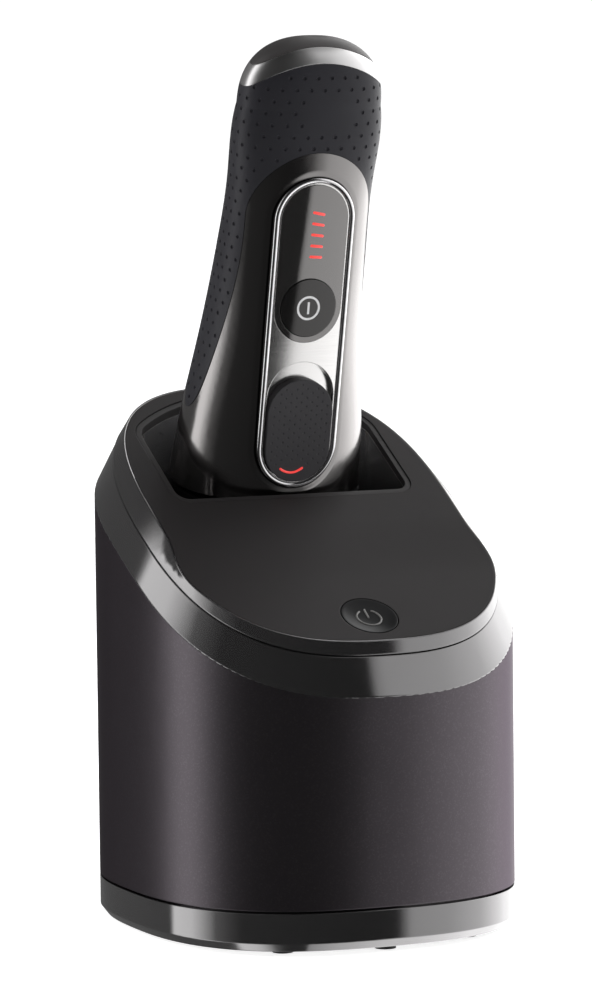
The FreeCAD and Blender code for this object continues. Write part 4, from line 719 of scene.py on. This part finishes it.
def dishHeight(radius):
    rim, dish = startKey["radius"] - startKey["rim"], startKey["dish"]
    sphere = (rim * rim + dish * dish) / (2 * dish)
    return sphere - dish - math.sqrt(sphere * sphere - radius * radius)


def makeStartKey():
    key = startKey
    inner = key["radius"] - key["rim"]
    face = [(inner * step / key["faceSteps"], dishHeight(inner * step / key["faceSteps"]))
            for step in range(key["faceSteps"] + 1)]
    rim = [(inner + key["rim"] * (key["rimFlat"] + (1 - key["rimFlat"]) * math.sin(angle)),
            -key["rim"] * (1 - math.cos(angle)))
           for angle in (math.pi / 2 * step / key["rimSteps"] for step in range(key["rimSteps"] + 1))]
    flangeBottom = -key["flangeTop"] - key["flangeWall"]
    below = [(key["radius"], -key["flangeTop"]), (key["flangeRadius"], -key["flangeTop"]),
             (key["flangeRadius"], flangeBottom), (key["stemRadius"], flangeBottom),
             (key["stemRadius"], -key["stemTip"]), (0.0, -key["stemTip"])]
    body = turnedMesh("startKeyBody", face + rim + below, key["steps"])
    gap = math.radians(key["iconGap"])
    angles = [math.pi / 2 + gap + (2 * math.pi - 2 * gap) * step / key["ringSteps"]
              for step in range(key["ringSteps"] + 1)]
    wide, lift = key["iconRadius"], dishHeight(key["iconRadius"])
    ring = [(wide * math.cos(angle), wide * math.sin(angle), lift) for angle in angles]
    heights = [key["strokeFrom"] + key["strokeLength"] * step / key["strokeSteps"]
               for step in range(key["strokeSteps"] + 1)]
    stroke = [(0, height, dishHeight(height)) for height in heights]
    wires = [barMesh("ring", ring, key["iconWire"]), barMesh("stroke", stroke, key["iconWire"])]
    icon = joinMeshes("startIcon", wires)
    addPiece("startIcon", icon, "start_key", "iconGrey", keyPlace)
    piece = addPiece("startKeyDish", body, "start_key", "keyGloss", keyPlace, key["crease"])
    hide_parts("start_button")


frontFrame = {
    "bottom": 16.9, "top": 88.5, "outer": 13.1, "inner": 11.6, "proud": 0.3, "back": 3.0, "round": 0.55,
    "steps": 32, "roundSteps": 5, "crease": 40.0,
}


# the bright frame: a rounded section carried round a capsule
def makeFrontFrame():
    spec = frontFrame
    angles = [math.pi / 2 * step / spec["roundSteps"] for step in range(spec["roundSteps"] + 1)]
    corner = [(spec["round"] * (1 - math.sin(angle)), -spec["proud"] + spec["round"] * (1 - math.cos(angle)))
              for angle in angles]
    inner = [(spec["inner"] + inset, depth) for inset, depth in reversed(corner)]
    outer = [(spec["outer"] - inset, depth) for inset, depth in corner]
    section = [(spec["inner"], spec["back"])] + inner + outer + [(spec["outer"], spec["back"])]
    shape = bmesh.new()
    rings = []
    for centre, start in ((spec["top"], 0.0), (spec["bottom"], math.pi)):
        for step in range(spec["steps"] + 1):
            angle = start + math.pi * step / spec["steps"]
            spots = [(reach * math.cos(angle), depth, centre + reach * math.sin(angle))
                     for reach, depth in section]
            rings.append([shape.verts.new(Vector(spot) * mm) for spot in spots])
    mesh = ringMesh("frontFrame", shape, rings + rings[:1], len(section))
    piece = addPiece("brightFrame", mesh, "shaver", "brightChrome", shaverPlace,
                     spec["crease"])
    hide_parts("front_frame")


# the flat face inside the frame is very slightly crowned, so that it mirrors a light and a dark side
crown = {
    "radius": 80.0, "crestX": -5.0, "crestHeight": 50.0, "crestSlope": 0.0612,    # how its normals turn
    "sag": 420.0, "half": 12.0, "strip": 1.0, "frontDeep": 0.6,      # how far its edges fall back
    "facing": -0.95, "crease": 25.0,
}


# a node's mesh in the shaver's own directions, with its loose triangles joined up
def mergedCopy(node):
    mesh = nodes[node].data.copy()
    shape = bmesh.new()
    shape.from_mesh(mesh)
    bmesh.ops.remove_doubles(shape, verts=shape.verts, dist=1e-6)
    shape.to_mesh(mesh)
    shape.free()
    mesh.transform(shaverPlace.inverted())
    return mesh


def crownPiece(name, node, body, finish):
    mesh = mergedCopy(node)
    if node == "display_window":
        mesh = closeSlots(mesh)
    shape = bmesh.new()
    shape.from_mesh(mesh)
    strips = int(crown["half"] / crown["strip"])
    for step in range(-strips, strips + 1):
        bmesh.ops.bisect_plane(shape, geom=shape.verts[:] + shape.edges[:] + shape.faces[:], dist=1e-7,
                               plane_co=(step * crown["strip"] * mm, 0, 0), plane_no=(1, 0, 0))
    front = min(vert.co.y for vert in shape.verts)
    for vert in shape.verts:
        if vert.co.y < front + crown["frontDeep"] * mm:
            vert.co.y += vert.co.x ** 2 / (2 * crown["sag"] * mm)
    shape.to_mesh(mesh)
    shape.free()
    piece = addPiece(name, mesh, body, finish, shaverPlace, crown["crease"])
    turned = [corner.vector.copy() for corner in mesh.corner_normals]
    back = shaverPlace.inverted()
    for face in mesh.polygons:
        if (back.to_3x3() @ face.normal).y > crown["facing"]:
            continue
        for index in face.loop_indices:
            spot = back @ mesh.vertices[mesh.loops[index].vertex_index].co / mm
            crest = crown["crestX"] + (spot.z - crown["crestHeight"]) * crown["crestSlope"]
            tilt = Vector(((spot.x - crest) / crown["radius"], -1, 0)).normalized()
            turned[index] = shaverPlace.to_3x3() @ tilt
    mesh.normals_split_custom_set([tuple(item) for item in turned])
    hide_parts(node)


lightBars = {
    "count": 5, "pitch": 3.4, "height": 83.7, "centreX": 1.2, "half": 1.7, "radius": 0.5, "depth": 0.15,
    "slopeTop": 12.0, "slopeBottom": 4.0,            # degrees, falling to the right
    "slotHalf": 3.0, "slotTall": 15.0, "slotDeep": 0.45, "faceDepth": -0.1,
}


# the window's own slots are closed, because the lights sit aside from its middle and slope
def closeSlots(mesh):
    spec = lightBars
    fill = bmesh.new()
    bmesh.ops.create_cube(fill, size=1.0, matrix=Matrix.Translation(
        Vector((0, spec["faceDepth"] + spec["slotDeep"] / 2, spec["height"])) * mm)
        @ Matrix.Diagonal((2 * spec["slotHalf"] * mm, spec["slotDeep"] * mm, spec["slotTall"] * mm, 1)))
    holder = bpy.data.objects.new("slotHolder", mesh)
    tool = bpy.data.objects.new("slotFill", meshOf("slotFill", fill))
    for item in (holder, tool):
        bpy.context.scene.collection.objects.link(item)
    modifier = holder.modifiers.new("fill", "BOOLEAN")
    modifier.operation, modifier.solver, modifier.object = "UNION", "EXACT", tool
    closed = bpy.data.meshes.new_from_object(holder.evaluated_get(bpy.context.evaluated_depsgraph_get()))
    for item in (holder, tool):
        bpy.data.objects.remove(item)
    return closed


def makeLightBars():
    spec, bars = lightBars, []
    for number in range(spec["count"]):
        share = number / (spec["count"] - 1)
        slope = math.radians(spec["slopeBottom"] + (spec["slopeTop"] - spec["slopeBottom"]) * share)
        height = spec["height"] + spec["pitch"] * (number - (spec["count"] - 1) / 2)
        ends = [(spec["centreX"] + side * spec["half"] * math.cos(slope), spec["depth"],
                 height - side * spec["half"] * math.sin(slope)) for side in (-1, 1)]
        bars.append(barMesh(f"bar{number}", ends, spec["radius"]))
    mesh = joinMeshes("lightBars", bars)
    piece = addPiece("lightBars", mesh, "shaver", "lightRed", shaverPlace)
    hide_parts("indicator_bars")


smile = {
    "centreX": -1.6, "height": 8.9, "half": 3.6, "bend": 1.3, "depth": -0.92, "radius": 0.36, "steps": 12,
}


# the red mark near the slider's lower end; its finish glows, so this mark, which is no lamp, shows painted light
def makeSmile():
    shares = [-1 + 2 * step / smile["steps"] for step in range(smile["steps"] + 1)]
    points = [(smile["centreX"] + smile["half"] * share, smile["depth"],
               smile["height"] + smile["bend"] * share * share) for share in shares]
    mesh = barMesh("sliderMark", points, smile["radius"])
    # painted light: the light bars' glowing red makes this printed mark glow too
    addPiece("sliderMark", mesh, "head_lock", "lightRed", shaverPlace)


dimpleBall = {
    "segments": 10, "rings": 7,
    "facing": -0.3,          # how squarely a ray has to land
}


# dimples: a lattice of rays finds the surface, and a small ball is cut out where each one lands
def makeDimpleTree():
    tree, given, out = newGroup("dimpleField", {
        "Geometry": "Geometry", "Columns": "Int", "Rows": "Int", "Pitch Across": "Float",
        "Pitch Along": "Float", "Start": "Float", "Half Wide": "Float", "Half Deep": "Float",
        "Axis Depth": "Float", "Reach": "Float", "Margin": "Float", "Dimple Radius": "Float",
        "Ball Radius": "Float", "Bare Centre": "Vector", "Bare Half": "Vector", "Finish": "Material"},
        {"Geometry": "Geometry"}, "GeometryNodeTree")

    def calc(operation, *values):
        return mathNode(tree, operation, *values)

    def vector(operation, *values, output=0):
        return vectorNode(tree, operation, *values, output=output)

    def keepValue(name, kind, geometry, value):
        return addNode(tree, "GeometryNodeStoreNamedAttribute", {
            "Name": name, "Geometry": geometry, "Value": value}, data_type=kind).outputs["Geometry"]

    def readValue(name, kind):
        return addNode(tree, "GeometryNodeInputNamedAttribute", {"Name": name}, data_type=kind).outputs[0]

    # where each ray starts on an oval cylinder round the piece, and its way inward
    lastColumn, lastRow = (calc("SUBTRACT", given[label], 1.0) for label in ("Columns", "Rows"))
    grid = addNode(tree, "GeometryNodeMeshGrid", {
        "Size X": lastColumn, "Size Y": lastRow, "Vertices X": given["Columns"], "Vertices Y": given["Rows"]})
    here = addNode(tree, "GeometryNodeInputPosition").outputs[0]
    place = splitNode(tree, here)
    row = calc("ROUND", calc("MULTIPLY_ADD", lastRow, 0.5, place["Y"]))
    shift = calc("MULTIPLY", calc("MODULO", row, 2.0), 0.5)
    across = calc("MULTIPLY", calc("ADD", place["X"], shift), given["Pitch Across"])
    height = calc("MULTIPLY_ADD", row, given["Pitch Along"], given["Start"])
    angle = calc("DIVIDE", across, given["Half Wide"])
    sine, cosine = calc("SINE", angle), calc("COSINE", angle)
    outX = calc("DIVIDE", sine, given["Half Wide"])
    outY = calc("DIVIDE", calc("MULTIPLY", cosine, -1.0), given["Half Deep"])
    outward = vector("NORMALIZE", joinNode(tree, X=outX, Y=outY))
    onX = calc("MULTIPLY", sine, given["Half Wide"])
    onY = calc("SUBTRACT", given["Axis Depth"], calc("MULTIPLY", cosine, given["Half Deep"]))
    origin = vector("ADD", joinNode(tree, X=onX, Y=onY, Z=height), scaleNode(tree, outward, given["Reach"]))
    aimed = keepValue("inward", "FLOAT_VECTOR", grid.outputs["Mesh"], scaleNode(tree, outward, -1.0))
    starts = addNode(tree, "GeometryNodeSetPosition", {"Geometry": aimed, "Position": origin}).outputs[0]

    # a ray counts if it and its four neighbours land on the same facing surface
    ray = readValue("inward", "FLOAT_VECTOR")
    length = calc("MULTIPLY", given["Reach"], 2.0)
    up = joinNode(tree, Z=given["Margin"])
    side = scaleNode(tree, vector("CROSS_PRODUCT", ray, (0.0, 0.0, 1.0)), given["Margin"])
    down, otherSide = vector("MULTIPLY", up, (0, 0, -1)), vector("MULTIPLY", side, (-1, -1, -1))
    good, main = None, None
    for offset in (None, up, down, side, otherSide):
        cast = addNode(tree, "GeometryNodeRaycast", {
            "Target Geometry": given["Geometry"], "Ray Direction": ray,
            "Source Position": here if offset is None else vector("ADD", here, offset),
            "Ray Length": length}).outputs
        facing = vector("DOT_PRODUCT", cast["Hit Normal"], ray, output="Value")
        fine = calc("MULTIPLY", cast["Is Hit"], calc("LESS_THAN", facing, dimpleBall["facing"]))
        if main is None:
            good, main = fine, cast
        else:
            apart = calc("ABSOLUTE", calc("SUBTRACT", cast["Hit Distance"], main["Hit Distance"]))
            fine = calc("MULTIPLY", fine, calc("LESS_THAN", apart, given["Margin"]))
            good = calc("MULTIPLY", good, fine)
    apart = vector("ABSOLUTE", vector("SUBTRACT", main["Hit Position"], given["Bare Centre"]))
    over = splitNode(tree, vector("SUBTRACT", apart, given["Bare Half"]))
    furthest = calc("MAXIMUM", calc("MAXIMUM", over["X"], over["Y"]), over["Z"])
    good = calc("MULTIPLY", good, calc("GREATER_THAN", furthest, 0.0))

    # the tests read the rays' own starts, so their results are kept before the points move
    tested = keepValue("good", "FLOAT", starts, good)
    tested = keepValue("facing", "FLOAT_VECTOR", tested, main["Hit Normal"])
    sink = calc("SQRT", calc("SUBTRACT", calc("MULTIPLY", given["Ball Radius"], given["Ball Radius"]),
                             calc("MULTIPLY", given["Dimple Radius"], given["Dimple Radius"])))
    landed = vector("ADD", main["Hit Position"], scaleNode(tree, main["Hit Normal"], sink))
    moved = addNode(tree, "GeometryNodeSetPosition", {"Geometry": tested, "Position": landed})
    chosen = calc("GREATER_THAN", readValue("good", "FLOAT"), 0.5)
    turned = addNode(tree, "FunctionNodeAlignRotationToVector", {
        "Vector": readValue("facing", "FLOAT_VECTOR")}, axis="Z")
    ball = addNode(tree, "GeometryNodeMeshUVSphere", {
        "Segments": dimpleBall["segments"], "Rings": dimpleBall["rings"], "Radius": given["Ball Radius"]})
    copies = addNode(tree, "GeometryNodeInstanceOnPoints", {
        "Points": moved.outputs[0], "Selection": chosen, "Instance": ball.outputs["Mesh"],
        "Rotation": turned.outputs[0]})
    solid = addNode(tree, "GeometryNodeRealizeInstances", {0: copies.outputs[0]})
    carved = addNode(tree, "GeometryNodeMeshBoolean", {
        "Mesh 1": given["Geometry"], "Mesh 2": solid.outputs[0]}, operation="DIFFERENCE", solver="MANIFOLD")
    painted = addNode(tree, "GeometryNodeSetMaterial", {
        "Geometry": carved.outputs["Mesh"], "Material": given["Finish"]})
    tree.links.new(painted.outputs[0], out["Geometry"])
    return tree


dimpleTree = makeDimpleTree()

gripDimples = {
    "Columns": 32, "Rows": 37, "Pitch Across": 2 * math.pi * 23.0 / 32 * mm, "Pitch Along": 3.6 * mm,
    "Start": 2.5 * mm, "Half Wide": 23.0 * mm, "Half Deep": 17.0 * mm, "Axis Depth": 17.0 * mm,
    "Reach": 25.0 * mm, "Margin": 1.2 * mm, "Dimple Radius": 0.68 * mm, "Ball Radius": 0.74 * mm,
    "Bare Centre": Vector((2.6, 0.0, 120.5)) * mm, "Bare Half": Vector((8.6, 6.0, 5.6)) * mm,
}
sliderDimples = {
    "Columns": 7, "Rows": 19, "Pitch Across": 3.5 * mm, "Pitch Along": 1.4 * mm, "Start": 11.6 * mm,
    "Half Wide": 8.0, "Half Deep": 8.0, "Axis Depth": 8.0, "Reach": 5.0 * mm, "Margin": 1.3 * mm,
    "Dimple Radius": 0.3 * mm, "Ball Radius": 0.32 * mm,
    "Bare Centre": Vector((-1.6, 0.0, 9.0)) * mm, "Bare Half": Vector((5.0, 6.0, 3.0)) * mm,
}


carving = {"crease": 32.0, "sameGap": 0.000005, "sameTurn": 0.9995, "leastArea": 1e-12}


# where a carved face still lies on the old surface, it keeps the old surface's normals
def keepNormals(mesh, source):
    finder = BVHTree.FromPolygons([vert.co for vert in source.vertices],
                                  [tuple(face.vertices) for face in source.polygons])
    before = [corner.vector.copy() for corner in source.corner_normals]
    turned = [corner.vector.copy() for corner in mesh.corner_normals]
    for face in mesh.polygons:
        _, normal, index, gap = finder.find_nearest(face.center)
        old = source.polygons[index]
        if (gap > carving["sameGap"] or normal.dot(face.normal) < carving["sameTurn"]
                or old.area < carving["leastArea"]):
            continue
        corners = [source.vertices[vert].co for vert in old.vertices]
        normals = [before[loop] for loop in old.loop_indices]
        for loop in face.loop_indices:
            spot = mesh.vertices[mesh.loops[loop].vertex_index].co
            turned[loop] = barycentric_transform(spot, *corners, *normals).normalized()
    mesh.normals_split_custom_set([tuple(item) for item in turned])


# the node's own mesh, with dimples cut into it in the shaver's own directions
def carve(name, node, body, finish, values):
    blank = bpy.data.objects.new(name + "Blank", mergedCopy(node))
    bpy.context.scene.collection.objects.link(blank)
    modifier = blank.modifiers.new("dimples", "NODES")
    modifier.node_group = dimpleTree
    for item in dimpleTree.interface.items_tree:
        if item.in_out == "INPUT" and item.name in values:
            modifier[item.identifier] = values[item.name]
        elif item.name == "Finish":
            modifier[item.identifier] = materials[finish]
    depsgraph = bpy.context.evaluated_depsgraph_get()
    carved = bpy.data.meshes.new_from_object(blank.evaluated_get(depsgraph))
    bpy.data.objects.remove(blank)
    piece = addPiece(name, carved, body, finish, shaverPlace, carving["crease"])
    keepNormals(piece.data, nodes[node].data)
    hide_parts(node)
    print(name, len(piece.data.polygons), "faces")


makeStartKey()
makeFrontFrame()
crownPiece("crownedPlate", "front_plate", "shaver", "silverPlate")
crownPiece("crownedWindow", "display_window", "shaver", "windowBlack")
crownPiece("crownedButton", "shaver_power_button", "power_key", "buttonBlack")
makeLightBars()
makeSmile()
carve("dimpledGrip", "grip_sleeve", "shaver", "gripRubber", gripDimples)
carve("dimpledSlider", "head_lock_slider", "head_lock", "sliderRubber", sliderDimples)
print("pieces made")
